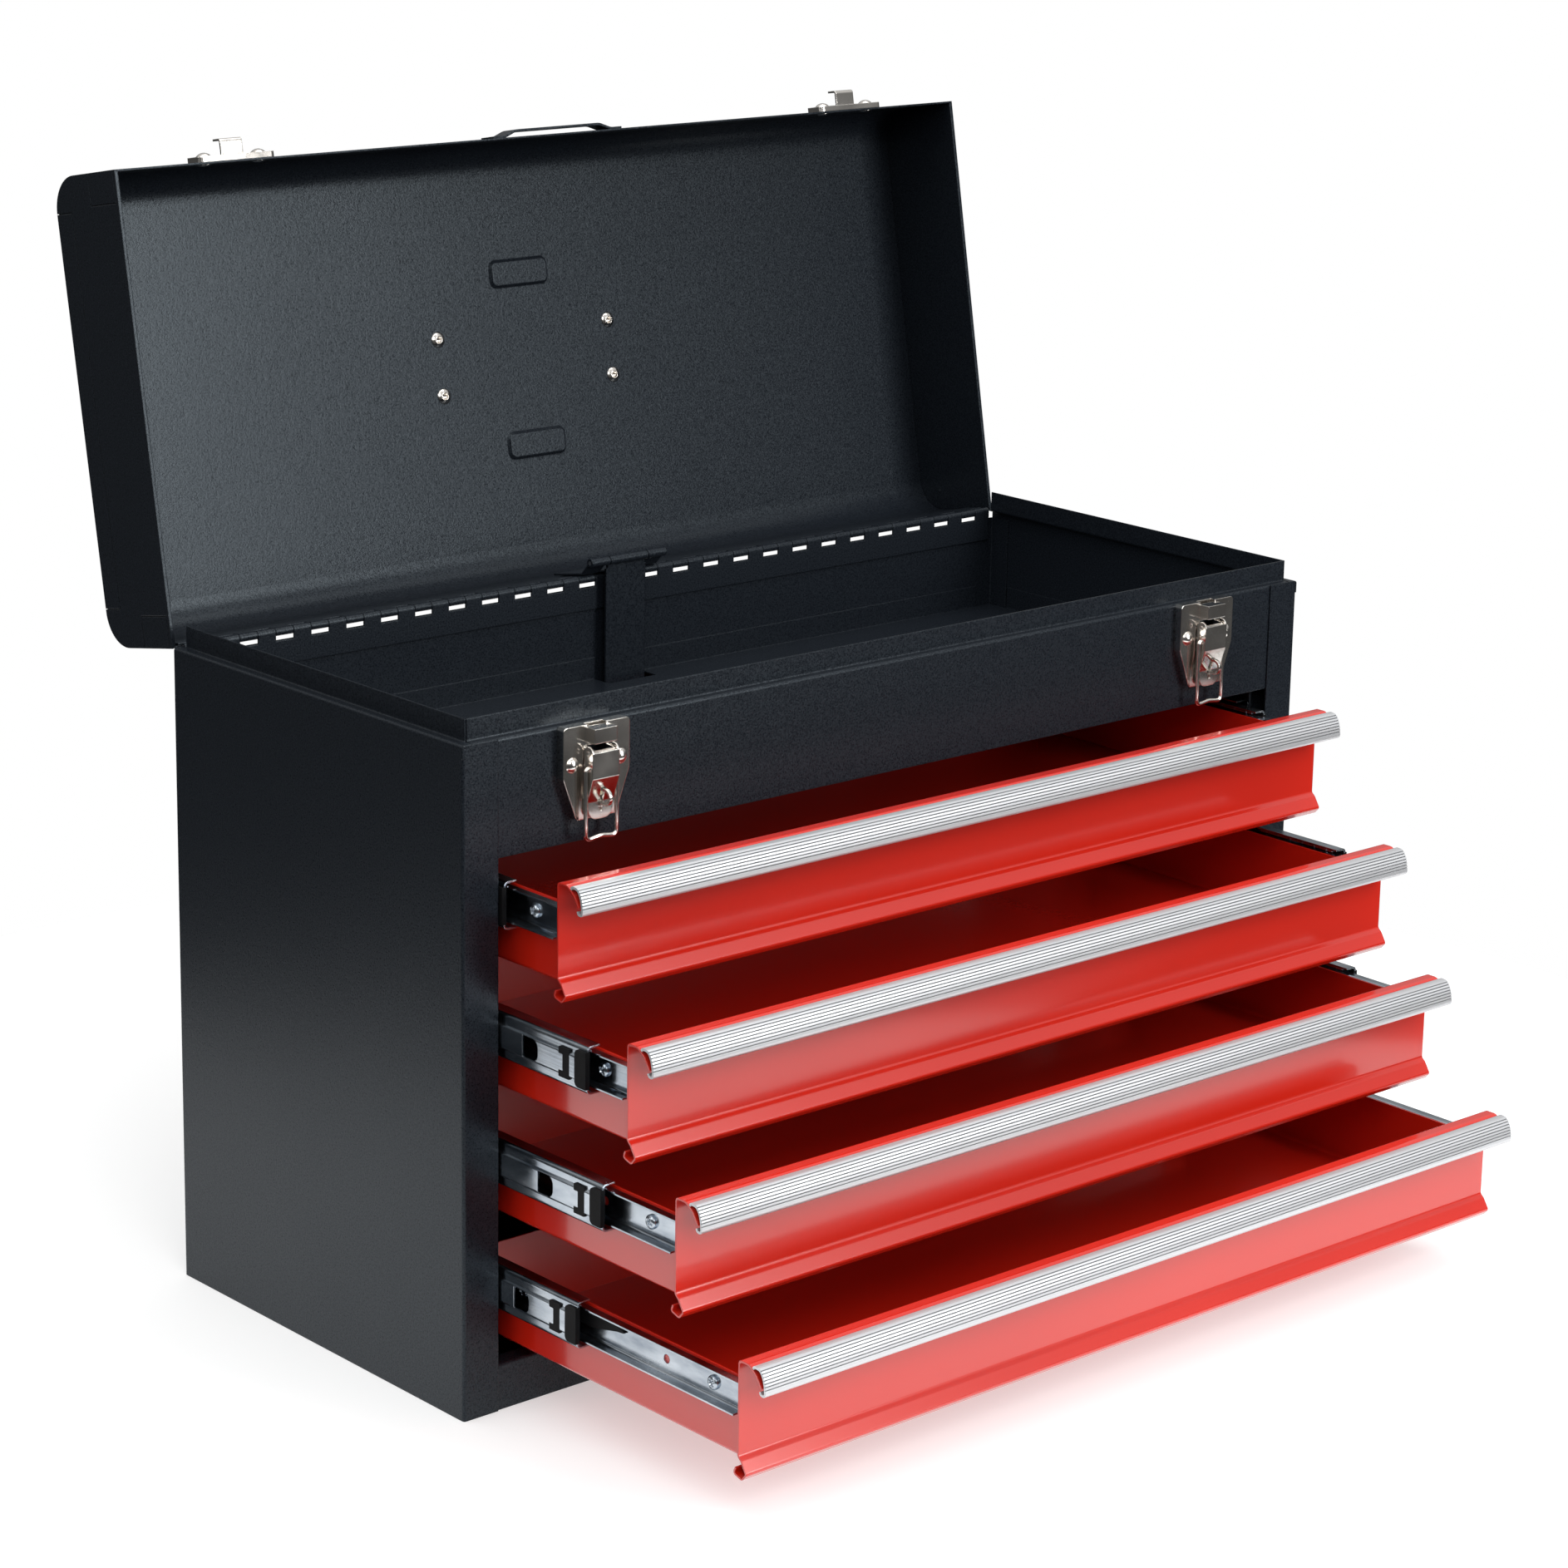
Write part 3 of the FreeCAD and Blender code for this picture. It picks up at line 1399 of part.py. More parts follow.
# Lock bar
def lock_bar():
    """Upright strip behind the drawers, hung on the link's pin, with a tongue for each catch."""
    x = bar_width / 2
    y = bar_y
    strip_body = box(-x, x, y, y + bar_sheet, bar_bottom_height, bar_pin_rest_z)
    ring_half = bar_ring_half_width
    neck_cuts = []
    for side in (-1, 1):
        low, high = sorted((side * ring_half, side * (x + overrun)))
        neck_cuts.append(box(
            low, high, y - overrun, y + bar_sheet + overrun,
            bar_pin_rest_z - 2 * bar_ring_radius, bar_pin_rest_z + overrun,
        ))
    ring = rod(
        V(-ring_half, bar_pin_y, bar_pin_rest_z), V(ring_half, bar_pin_y, bar_pin_rest_z), bar_ring_radius,
    )
    pieces = [strip_body.cut(Part.makeCompound(neck_cuts)), ring]
    for top in drawer_tops:
        level = top - tongue_top_drop + bar_lift
        tip = top - tongue_lip_drop + bar_lift
        tongue = strip(
            [(y + bar_sheet / 2, level), (y - tongue_reach, level), (y - tongue_reach, tip)],
            bar_sheet, "x", -tongue_half_width, tongue_half_width,
        )
        pieces.append(tongue)
    bore = rod(
        V(-x - overrun, bar_pin_y, bar_pin_rest_z), V(x + overrun, bar_pin_y, bar_pin_rest_z),
        bar_pin_radius + bar_pin_play,
    )
    return fused(pieces).cut(bore)


def lock_link_plate():
    """Plate on the lid's rear wall whose arms carry the lock bar's pin, drawn for the closed lid."""
    half_width = link_half_width
    rear = leaf_y - link_clear
    front = rear - link_sheet
    top = hinge_z + link_top_rise
    knee = hinge_z - link_bend_drop
    pin = V(0, bar_pin_y, bar_pin_closed_z)
    arm = strip(
        [(rear, top), (rear, knee), (pin.y + link_sheet / 2, pin.z)],
        -link_sheet, "x", -half_width, half_width,
    )
    window_half = bar_width / 2 + link_gap
    window = box(
        -window_half, window_half, pin.y - 2 * bar_ring_radius, rear + overrun,
        pin.z - 2 * bar_ring_radius, knee,
    )
    rings = []
    ring_start = bar_ring_half_width + link_gap
    for side in (-1, 1):
        start = V(side * ring_start, pin.y, pin.z)
        end = V(side * half_width, pin.y, pin.z)
        rings.append(rod(start, end, bar_ring_radius))
    bore = rod(V(-side_x, pin.y, pin.z), V(side_x, pin.y, pin.z), bar_pin_radius)
    return fused([arm.cut(window)] + rings).cut(bore)


def lock_link_pin():
    """Pin on which the lock bar hangs, drawn for the closed lid."""
    z = bar_pin_closed_z
    return rod(V(-link_half_width, bar_pin_y, z), V(link_half_width, bar_pin_y, z), bar_pin_radius)


def lock_bar_guides():
    """Two straps on the rear wall that keep the lock bar upright."""
    gap = bar_width / 2 + guide_play
    outer = gap + bar_sheet
    front = bar_y - guide_swing - guide_play - bar_sheet
    above = drawer_tops[0] - tongue_lip_drop
    below = drawer_tops[1] - tongue_top_drop + bar_lift
    pieces = []
    for level in (guide_bottom, (above + below - guide_height) / 2):
        strap = strip(
            [
                (-outer - guide_foot, panel_y), (-outer, panel_y), (-outer, front),
                (outer, front), (outer, panel_y), (outer + guide_foot, panel_y),
            ],
            -bar_sheet, "z", level, level + guide_height,
        )
        pieces.append(strap)
    return Part.makeCompound(pieces)


# Every node by name
def all_nodes():
    """The sub-parts, each under the name of its file."""
    lid_row, case_row = knuckle_centres()
    left_panel = side_panel()
    cap = opened(lid_cap())
    lever = latch_lever()
    bail = latch_bail()
    nodes = {
        "left_side_panel": left_panel,
        "right_side_panel": mirrored(left_panel),
        "back_panel": back_panel(),
        "bottom_panel": bottom_panel(),
        "front_apron": front_apron(),
        "bottom_rail": bottom_rail(),
        "tray_floor": tray_floor(),
        "case_hinge_leaf": hinge_half(case_row, lid_row, -1),
        "hinge_pin": hinge_pin(),
        "slide_posts": slide_posts(),
        "cabinet_slides": cabinet_slides(),
        "slide_screws": slide_screws(),
        "lock_bar_guides": lock_bar_guides(),
        "latch_plates": both_sides(latch_plate()),
        "latch_fasteners": latch_fasteners(),
        "lid_shell": opened(lid_shell()),
        "lid_left_cap": cap,
        "lid_right_cap": mirrored(cap),
        "lid_hinge_leaf": opened(hinge_half(lid_row, case_row, 1)),
        "lid_strikes": opened(both_sides(lid_strike())),
        "lid_rivets": opened(lid_rivets()),
        "handle_brackets": opened(both_sides(handle_bracket())),
        "lid_pull_strip": opened(lid_pull_strip()),
        "lock_link_plate": opened(lock_link_plate()),
        "lock_link_pin": opened(lock_link_pin()),
        "handle_rod": opened(hung(handle_rod())),
        "handle_grip": opened(hung(handle_grip())),
        "left_latch_lever": lever,
        "right_latch_lever": mirrored(lever),
        "left_latch_bail": bail,
        "right_latch_bail": mirrored(bail),
        "lock_bar": lock_bar(),
    }
    for row, top in enumerate(drawer_tops):
        name = "drawer_" + str(row + 1)
        face = drawer_face - photo_openings[row]
        travel = middle_rest_travel[row]
        screws = [screw_hole(y, top - slide_centre_drop) for y in drawer_screw_rows(face)]
        screws = screws + [mirrored(hole) for hole in screws]
        nodes[name + "_front"] = drawer_front(top, face)
        nodes[name + "_pull"] = drawer_pull(top, face)
        nodes[name + "_pan"] = drawer_pan(top, face).cut(Part.makeCompound(screws))
        nodes[name + "_inner_slides"] = inner_slides(top, face)
        nodes[name + "_screws"] = drawer_screws(top, face)
        nodes[name + "_middle_slides"] = middle_slides(top, travel)
        nodes[name + "_slide_clips"] = slide_clips(top, travel)
    return nodes


os.makedirs("parts", exist_ok=True)
for node_name, node_shape in all_nodes().items():
    node_shape.exportStep("parts/" + node_name + ".step")
    sound = node_shape.isValid() and all(solid.Volume > 0 for solid in node_shape.Solids)
    print(node_name, len(node_shape.Solids), "sound" if sound else "FAULTY")
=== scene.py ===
import bpy
import bmesh
import json
import math
from mathutils import Matrix, Vector


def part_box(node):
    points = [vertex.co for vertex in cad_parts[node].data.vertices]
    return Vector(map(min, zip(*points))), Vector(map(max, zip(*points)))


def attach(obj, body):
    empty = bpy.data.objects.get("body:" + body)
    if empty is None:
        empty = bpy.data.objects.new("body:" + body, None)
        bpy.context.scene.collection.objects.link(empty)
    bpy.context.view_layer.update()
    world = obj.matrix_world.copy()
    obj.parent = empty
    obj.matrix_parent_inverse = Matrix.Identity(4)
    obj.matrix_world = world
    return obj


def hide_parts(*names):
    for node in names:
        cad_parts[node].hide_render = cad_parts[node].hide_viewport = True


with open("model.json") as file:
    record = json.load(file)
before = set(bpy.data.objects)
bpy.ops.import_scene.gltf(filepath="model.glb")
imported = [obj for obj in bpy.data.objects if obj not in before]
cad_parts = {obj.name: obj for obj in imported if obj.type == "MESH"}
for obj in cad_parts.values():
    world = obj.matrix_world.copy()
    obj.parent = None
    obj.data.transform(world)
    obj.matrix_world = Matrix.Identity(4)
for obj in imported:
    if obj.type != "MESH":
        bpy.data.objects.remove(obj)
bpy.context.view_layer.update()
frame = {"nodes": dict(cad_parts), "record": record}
nodes = frame["nodes"]
MM = 0.001
DRAWERS = (1, 2, 3, 4)

# Section of a pull's outside, out from the drawer's face and down from its top, in millimetres
PULL_LINE = (
    (7.75, 1.0), (8.35, 0.1), (9.3, -0.35), (10.8, -0.3), (12.4, 0.0),
    (13.7, 1.0), (14.8, 2.6), (15.6, 4.6), (16.1, 6.8), (16.35, 9.0),
    (16.2, 10.6), (15.4, 11.6), (14.0, 11.75), (12.8, 11.3), (12.2, 10.1),
)
PULL_BACK_OUT = 7.52
PULL_TOP_RISE = 0.46
PULL_WALL = 1.1
PULL_HALF_WIDTH = 237.45
PULL_SHARP_ANGLE = 24
SPAN_STEPS = 6
GROOVES = 7
FIRST_GROOVE = 6.3
GROOVE_PITCH = 1.42
GROOVE_WIDTH = 0.56
GROOVE_DEPTH = 0.42

# Cross-recessed screws that hold the inner members: (radius, height) points, in millimetres
HEAD_LINE = (
    (3.25, 0.0), (3.25, 0.75), (3.12, 1.1), (2.75, 1.45), (2.3, 1.68), (1.8, 1.82),
    (1.4, 1.89), (1.1, 1.93), (0.8, 1.95), (0.55, 1.96), (0.3, 1.97), (0.12, 1.97),
)
HEAD_SIDES = 48
CROSS_LENGTH = 1.9
CROSS_WIDTH = 0.5
CROSS_DEPTH = 0.95
CROSS_STEEPNESS = 4.0
SHANK_RADIUS = 1.55
SHANK_SIDES = 24
SHANK_LENGTH = 4.4
NUT_LINE = ((2.75, 1.62), (3.1, 1.85), (3.1, 3.45), (2.75, 3.68), (1.6, 3.68))
NUT_SIDES = 6
HEAD_FROM_WEB = 1.98
SCREW_SHARP_ANGLE = 32
SCREWS_EACH_WAY = 2

# Release levers on the inner members, in millimetres from the member's front end and middle
LEVER_LINE = (
    (78.6, 2.9), (80.0, 3.8), (84.0, 4.6), (92.0, 5.3), (108.0, 5.6), (110.0, 4.8),
    (110.0, -0.4), (108.6, -1.6), (101.0, -1.6), (92.0, 0.2), (84.0, 2.0), (80.0, 2.4),
)
LEVER_INSIDE = 0.1
LEVER_THICKNESS = 1.0
LEVER_EDGE = 0.2
LEVER_EDGE_STEPS = 2
LEVER_SHARP_ANGLE = 30
WEB_FACE = 231.8

# Shades of the finishes, each at its place along the finish's noise
PAINT_SHADES = ((0.36, (0.0060, 0.0076, 0.0106)), (0.64, (0.0098, 0.0124, 0.0168)))
PAINT_TINT = (0.80, 0.92, 1.0, 1.0)
ENAMEL_SHADES = ((0.3, (0.50, 0.0125, 0.0045)), (0.7, (0.54, 0.0150, 0.0055)))
ALUMINIUM_SHADES = ((0.25, (0.52, 0.53, 0.55)), (0.75, (0.66, 0.67, 0.68)))
# Painted shade: dark grey laid into the bottoms of a pull's grooves
PAINTED_GROOVE_SHADOW = (0.13, 0.135, 0.14, 1.0)
ZINC_SHADES = ((0.3, (0.26, 0.30, 0.35)), (0.7, (0.60, 0.65, 0.70)))
NICKEL_SHADES = ((0.3, (0.80, 0.76, 0.71)), (0.7, (0.90, 0.86, 0.81)))
STEEL_SHADES = ((0.3, (0.42, 0.42, 0.43)), (0.7, (0.56, 0.56, 0.57)))
PLASTIC_SHADES = ((0.3, (0.0045, 0.0045, 0.005)), (0.7, (0.008, 0.008, 0.0085)))
BEVEL_SAMPLES = 4

# Floor, surroundings, lamps and camera, in metres, watts and degrees
WHITE = (1.0, 1.0, 1.0, 1.0)
FLOOR_RADIUS = 0.62
FLOOR_SIDES = 96
FLOOR_LEVEL = -0.0002
FLOOR_GLOW = 0.46
FLOOR_SHADES = ((0.2, (0.59, 0.59, 0.59)), (0.8, (0.61, 0.61, 0.61)))
ROOM_SHADES = (
    (0.0, (0.06, 0.06, 0.06)),
    (0.05, (0.07, 0.07, 0.07)),
    (0.5, (0.5, 0.5, 0.5)),
    (1.0, (0.8, 0.8, 0.8)),
)
MIDDLE = (0.0, -0.05, 0.2)
LAMPS = (
    ("lamp_top", (0.0, -0.1, 2.3), (2.0, 2.0), 31),
    ("lamp_key", (0.72, -1.93, 0.97), (0.7, 1.6), 38),
    ("lamp_front", (-1.03, -1.48, 1.46), (1.0, 1.0), 12),
    ("lamp_left", (-2.3, 0.3, 1.3), (1.0, 1.4), 8),
)
CAMERA_PLACE = (-1.2866, -1.4729, 0.7673)
CAMERA_YAW = 42.17
CAMERA_PITCH = 14.53
CAMERA_ROLL = 1.18
CAMERA_LENS = 96.446
CAMERA_SENSOR = 36.0
CAMERA_SHIFT = (-0.0309, -0.0490)
CAMERA_CLIP = (0.05, 100.0)


# Nodes that the finishes, the screws and the surroundings are made of
def set_inputs(tree, node, inputs):
    """Joins each named input of a node to a socket, or sets it to a value."""
    for name, value in inputs.items():
        if isinstance(value, bpy.types.NodeSocket):
            tree.links.new(value, node.inputs[name])
        else:
            node.inputs[name].default_value = value


def add_node(tree, kind, inputs, **settings):
    """A new node with its settings made and its inputs joined or set."""
    node = tree.nodes.new(kind)
    for name, value in settings.items():
        setattr(node, name, value)
    set_inputs(tree, node, inputs)
    return node


def new_material(name):
    """A node material with its tree, its shader and its object coordinates."""
    material = bpy.data.materials.new(name)
    material.use_nodes = True
    tree = material.node_tree
    where = add_node(tree, "ShaderNodeTexCoord", {})
    return material, tree, tree.nodes["Principled BSDF"], where.outputs["Object"]


def scaled(tree, vector, scale):
    """Coordinates stretched by a scale in each direction."""
    return add_node(tree, "ShaderNodeMapping", {"Vector": vector, "Scale": scale}).outputs["Vector"]


def noise(tree, vector, scale, detail=2.0, roughness=0.5):
    """Fractal noise on the coordinates given."""
    inputs = {"Vector": vector, "Scale": scale, "Detail": detail, "Roughness": roughness}
    return add_node(tree, "ShaderNodeTexNoise", inputs).outputs["Fac"]


def levels(tree, value, low, high, start=0.0, end=1.0):
    """A value from start to end spread between two levels."""
    inputs = {"Value": value, "From Min": start, "From Max": end, "To Min": low, "To Max": high}
    return add_node(tree, "ShaderNodeMapRange", inputs).outputs["Result"]


def ramp(tree, value, stops):
    """Colours along a value."""
    node = add_node(tree, "ShaderNodeValToRGB", {"Fac": value})
    elements = node.color_ramp.elements
    while len(elements) < len(stops):
        elements.new(0.5)
    for element, (position, colour) in zip(elements, stops):
        element.position = position
        element.color = (*colour, 1.0)
    return node.outputs["Color"]


def bump(tree, height, strength, distance, under=None):
    """A bumped normal, on top of another where one is given."""
    inputs = {"Height": height, "Strength": strength, "Distance": distance}
    if under is not None:
        inputs["Normal"] = under
    return add_node(tree, "ShaderNodeBump", inputs).outputs["Normal"]


def rounded(tree, radius):
    """A normal that reads every sharp edge as slightly rounded."""
    node = add_node(tree, "ShaderNodeBevel", {"Radius": radius}, samples=BEVEL_SAMPLES)
    return node.outputs["Normal"]


# Finishes
def case_powder_coat():
    """Near-black blue-grey powder coat with a fine grain."""
    material, tree, shader, where = new_material("case_powder_coat")
    cloud = noise(tree, where, scale=9.0, detail=3.0)
    grain = noise(tree, where, scale=1250.0, roughness=0.6)
    peel = noise(tree, where, scale=420.0)
    grain_from, grain_to = (position for position, _ in PAINT_SHADES)
    rough = levels(tree, grain, low=0.27, high=0.37, start=grain_from, end=grain_to)
    sheen = levels(tree, grain, low=0.22, high=0.42, start=grain_from, end=grain_to)
    share = levels(tree, cloud, low=0.85, high=1.15)
    uneven = add_node(tree, "ShaderNodeMath", {0: sheen, 1: share}, operation="MULTIPLY")
    skin = bump(tree, peel, strength=0.16, distance=0.0004, under=rounded(tree, radius=0.0008))
    set_inputs(tree, shader, {
        "Base Color": ramp(tree, grain, PAINT_SHADES),
        "Roughness": rough,
        "Specular IOR Level": uneven.outputs["Value"],
        "Specular Tint": PAINT_TINT,
        "Normal": bump(tree, grain, strength=0.4, distance=0.0002, under=skin),
    })
    return material


def drawer_enamel():
    """Glossy red stoved enamel with a faint orange peel."""
    material, tree, shader, where = new_material("drawer_enamel")
    cloud = noise(tree, where, scale=7.0)
    peel = noise(tree, where, scale=260.0)
    fine = noise(tree, where, scale=1100.0, detail=1.0)
    skin = bump(tree, peel, strength=0.035, distance=0.0004, under=rounded(tree, radius=0.0006))
    set_inputs(tree, shader, {
        "Base Color": ramp(tree, cloud, ENAMEL_SHADES),
        "Roughness": levels(tree, fine, low=0.20, high=0.26),
        "Normal": bump(tree, fine, strength=0.012, distance=0.0002, under=skin),
        "Coat Weight": 0.9,
        "Coat Roughness": 0.10,
    })
    return material


def pull_aluminium():
    """Drawn aluminium with fine lines along its length, and painted shade that darkens the grooves."""
    material, tree, shader, where = new_material("pull_aluminium")
    streak = noise(tree, scaled(tree, where, (3.0, 900.0, 900.0)), scale=1.0, detail=3.0, roughness=0.6)
    broad = noise(tree, scaled(tree, where, (2.0, 240.0, 240.0)), scale=1.0)
    groove = add_node(tree, "ShaderNodeAttribute", {}, attribute_name="groove")
    # Painted shade: the colour turns dark grey towards the bottom of each groove, by how deep the point
    # sits
    shadowed_grooves = add_node(tree, "ShaderNodeMix", {
        "Factor": groove.outputs["Fac"],
        "A": ramp(tree, streak, ALUMINIUM_SHADES),
        "B": PAINTED_GROOVE_SHADOW,
    }, data_type="RGBA")
    set_inputs(tree, shader, {
        "Base Color": shadowed_grooves.outputs["Result"],
        "Roughness": levels(tree, broad, low=0.34, high=0.46),
        "Normal": bump(tree, streak, strength=0.25, distance=0.0002),
        "Metallic": 0.7,
    })
    return material


def slide_zinc():
    """Bluish zinc plating, blotched where the rolls have polished it."""
    material, tree, shader, where = new_material("slide_zinc")
    blotch = noise(tree, scaled(tree, where, (60.0, 30.0, 90.0)), scale=1.0, detail=4.0, roughness=0.6)
    line = noise(tree, scaled(tree, where, (900.0, 12.0, 900.0)), scale=1.0)
    edge = rounded(tree, radius=0.0004)
    set_inputs(tree, shader, {
        "Base Color": ramp(tree, blotch, ZINC_SHADES),
        "Roughness": levels(tree, blotch, low=0.10, high=0.28, start=0.3, end=0.7),
        "Normal": bump(tree, line, strength=0.12, distance=0.0002, under=edge),
        "Metallic": 1.0,
    })
    return material


def polished_nickel():
    """Warm bright nickel plating on pressed parts."""
    material, tree, shader, where = new_material("polished_nickel")
    wave = noise(tree, where, scale=130.0)
    haze = noise(tree, where, scale=40.0, detail=3.0, roughness=0.6)
    edge = rounded(tree, radius=0.0006)
    set_inputs(tree, shader, {
        "Base Color": ramp(tree, haze, NICKEL_SHADES),
        "Roughness": levels(tree, haze, low=0.10, high=0.20, start=0.3, end=0.7),
        "Normal": bump(tree, wave, strength=0.07, distance=0.0006, under=edge),
        "Metallic": 1.0,
    })
    return material


def bright_steel():
    """Plain drawn steel of the pins."""
    material, tree, shader, where = new_material("bright_steel")
    line = noise(tree, scaled(tree, where, (8.0, 700.0, 700.0)), scale=1.0)
    set_inputs(tree, shader, {
        "Base Color": ramp(tree, line, STEEL_SHADES),
        "Roughness": levels(tree, line, low=0.24, high=0.38),
        "Normal": bump(tree, line, strength=0.1, distance=0.0001),
        "Metallic": 1.0,
    })
    return material


def moulded_plastic():
    """Black moulded plastic with a dull skin."""
    material, tree, shader, where = new_material("moulded_plastic")
    cloud = noise(tree, where, scale=60.0)
    grain = noise(tree, where, scale=900.0, roughness=0.6)
    set_inputs(tree, shader, {
        "Base Color": ramp(tree, cloud, PLASTIC_SHADES),
        "Roughness": levels(tree, grain, low=0.42, high=0.60),
        "Normal": bump(tree, grain, strength=0.15, distance=0.0002),
        "Specular IOR Level": 0.1,
    })
    return material


FINISHES = {
    "case_paint": case_powder_coat(),
    "drawer_paint": drawer_enamel(),
    "aluminium": pull_aluminium(),
    "zinc_steel": slide_zinc(),
    "nickel": polished_nickel(),
    "steel": bright_steel(),
    "black_plastic": moulded_plastic(),
}
for subpart in frame["record"]["subparts"]:
    mesh = nodes[subpart["node"]].data
    mesh.materials.clear()
    mesh.materials.append(FINISHES[subpart["material_slot"]])


# Pieces
def place(piece, body, node, slot):
    """Puts a finished piece in the scene, riding on its body, in place of a node where one is named."""
    piece.data.materials.clear()
    piece.data.materials.append(FINISHES[slot])
    bpy.context.collection.objects.link(piece)
    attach(piece, body)
    if node:
        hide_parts(node)


def smoothed(mesh, angle):
    """Smooth shading with edges kept sharp over an angle."""
    for face in mesh.polygons:
        face.use_smooth = True
    mesh.set_sharp_from_angle(angle=math.radians(angle))


def smooth_line(corners, steps):
    """Points along a smooth line through the corners."""
    ends = [corners[0], *corners, corners[-1]]
    line = []
    for i in range(len(corners) - 1):
        a, b, c, d = (Vector(point) for point in ends[i:i + 4])
        slope = c - a
        bend = 2 * a - 5 * b + 4 * c - d
        twist = 3 * b - a - 3 * c + d
        for step in range(steps):
            t = step / steps
            line.append(b + (slope * t + bend * t * t + twist * t ** 3) / 2)
    line.append(Vector(corners[-1]))
    return line


def along(line, distance):
    """The point a distance along a line and the direction square to the line there, outwards."""
    left = distance
    for a, b in zip(line, line[1:]):
        run = (b - a).length
        if left <= run or b is line[-1]:
            way = (b - a).normalized()
            return a + way * left, Vector((way.y, -way.x))
        left -= run


def grooved_section():
    """Outer and inner lines of a pull's grooved section, and how deep in a groove each point is."""
    line = smooth_line(PULL_LINE, SPAN_STEPS)
    total = sum((b - a).length for a, b in zip(line, line[1:]))
    middles = [FIRST_GROOVE + GROOVE_PITCH * i for i in range(GROOVES)]
    stops = []
    for i in range(len(line)):
        distance = total * i / (len(line) - 1)
        if all(abs(distance - middle) > GROOVE_WIDTH / 2 for middle in middles):
            stops.append((distance, 0.0))
    for middle in middles:
        stops.append((middle - GROOVE_WIDTH / 2, 0.0))
        stops.append((middle, GROOVE_DEPTH))
        stops.append((middle + GROOVE_WIDTH / 2, 0.0))
    outer = []
    inner = []
    marks = []
    for distance, depth in sorted(stops):
        point, out = along(line, distance)
        outer.append(point - out * depth)
        inner.append(point - out * PULL_WALL)
        marks.append(depth / GROOVE_DEPTH)
    return outer, inner, marks


def drawer_pull(row):
    """Ribbed aluminium pull along the top of a drawer's front."""
    node = f"drawer_{row}_pull"
    _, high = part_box(node)
    face = high[1] + PULL_BACK_OUT * MM
    top = high[2] - PULL_TOP_RISE * MM
    outer, inner, marks = grooved_section()
    count = len(outer)
    points = [
        (x * MM, face - point.x * MM, top - point.y * MM)
        for x in (-PULL_HALF_WIDTH, PULL_HALF_WIDTH)
        for point in outer + inner
    ]
    turn = 2 * count
    faces = []
    for i in range(count - 1):
        a, b, c, d = i, i + 1, count + i, count + i + 1
        faces += [(a, b, turn + b, turn + a), (c, turn + c, turn + d, d)]
        faces += [(a, c, d, b), (turn + a, turn + b, turn + d, turn + c)]
    last = count - 1
    faces.append((0, turn, turn + count, count))
    faces.append((last, count + last, turn + count + last, turn + last))
    mesh = bpy.data.meshes.new(f"pull_{row}")
    mesh.from_pydata(points, [], faces)
    # How deep each point sits in a groove, read by the pull's material to paint shade into the grooves
    groove = mesh.attributes.new("groove", "FLOAT", "POINT")
    groove.data.foreach_set("value", 2 * (marks + [0.0] * count))
    smoothed(mesh, PULL_SHARP_ANGLE)
    place(bpy.data.objects.new(f"pull_{row}", mesh), f"drawer_{row}", node, "aluminium")


def turned(shape, line, sides, sink=None):
    """Adds a closed turned body about the X axis, from (radius, place) points."""
    rings = []
    for radius, out in line:
        ring = []
        for i in range(sides):
            angle = 2 * math.pi * i / sides
            y, z = radius * math.cos(angle), radius * math.sin(angle)
            depth = sink(y, z) if sink else 0.0
            ring.append(shape.verts.new(((out - depth) * MM, y * MM, z * MM)))
        rings.append(ring)
    for low, high in zip(rings, rings[1:]):
        for i in range(sides):
            j = (i + 1) % sides
            shape.faces.new((low[i], low[j], high[j], high[i]))
    shape.faces.new(list(reversed(rings[0])))
    shape.faces.new(rings[-1])


def cross_recess(y, z):
    """Depth of the cross recess at a point of a screw's head."""
    y, z = abs(y), abs(z)
    arm = min(max(y / CROSS_WIDTH, z / CROSS_LENGTH), max(z / CROSS_WIDTH, y / CROSS_LENGTH))
    return CROSS_DEPTH * max(0.0, min(1.0, (1.0 - arm) * CROSS_STEEPNESS))


def screw_mesh():
    """One pan-head screw with its nut, head towards +X and its seat at the origin."""
    shape = bmesh.new()
    turned(shape, HEAD_LINE, HEAD_SIDES, cross_recess)
    turned(shape, [(SHANK_RADIUS, -SHANK_LENGTH), (SHANK_RADIUS, 0.0)], SHANK_SIDES)
    turned(shape, [(radius, -distance) for radius, distance in reversed(NUT_LINE)], NUT_SIDES)
    bmesh.ops.recalc_face_normals(shape, faces=shape.faces)
    mesh = bpy.data.meshes.new("screw")
    shape.to_mesh(mesh)
    shape.free()
    smoothed(mesh, SCREW_SHARP_ANGLE)
    return mesh


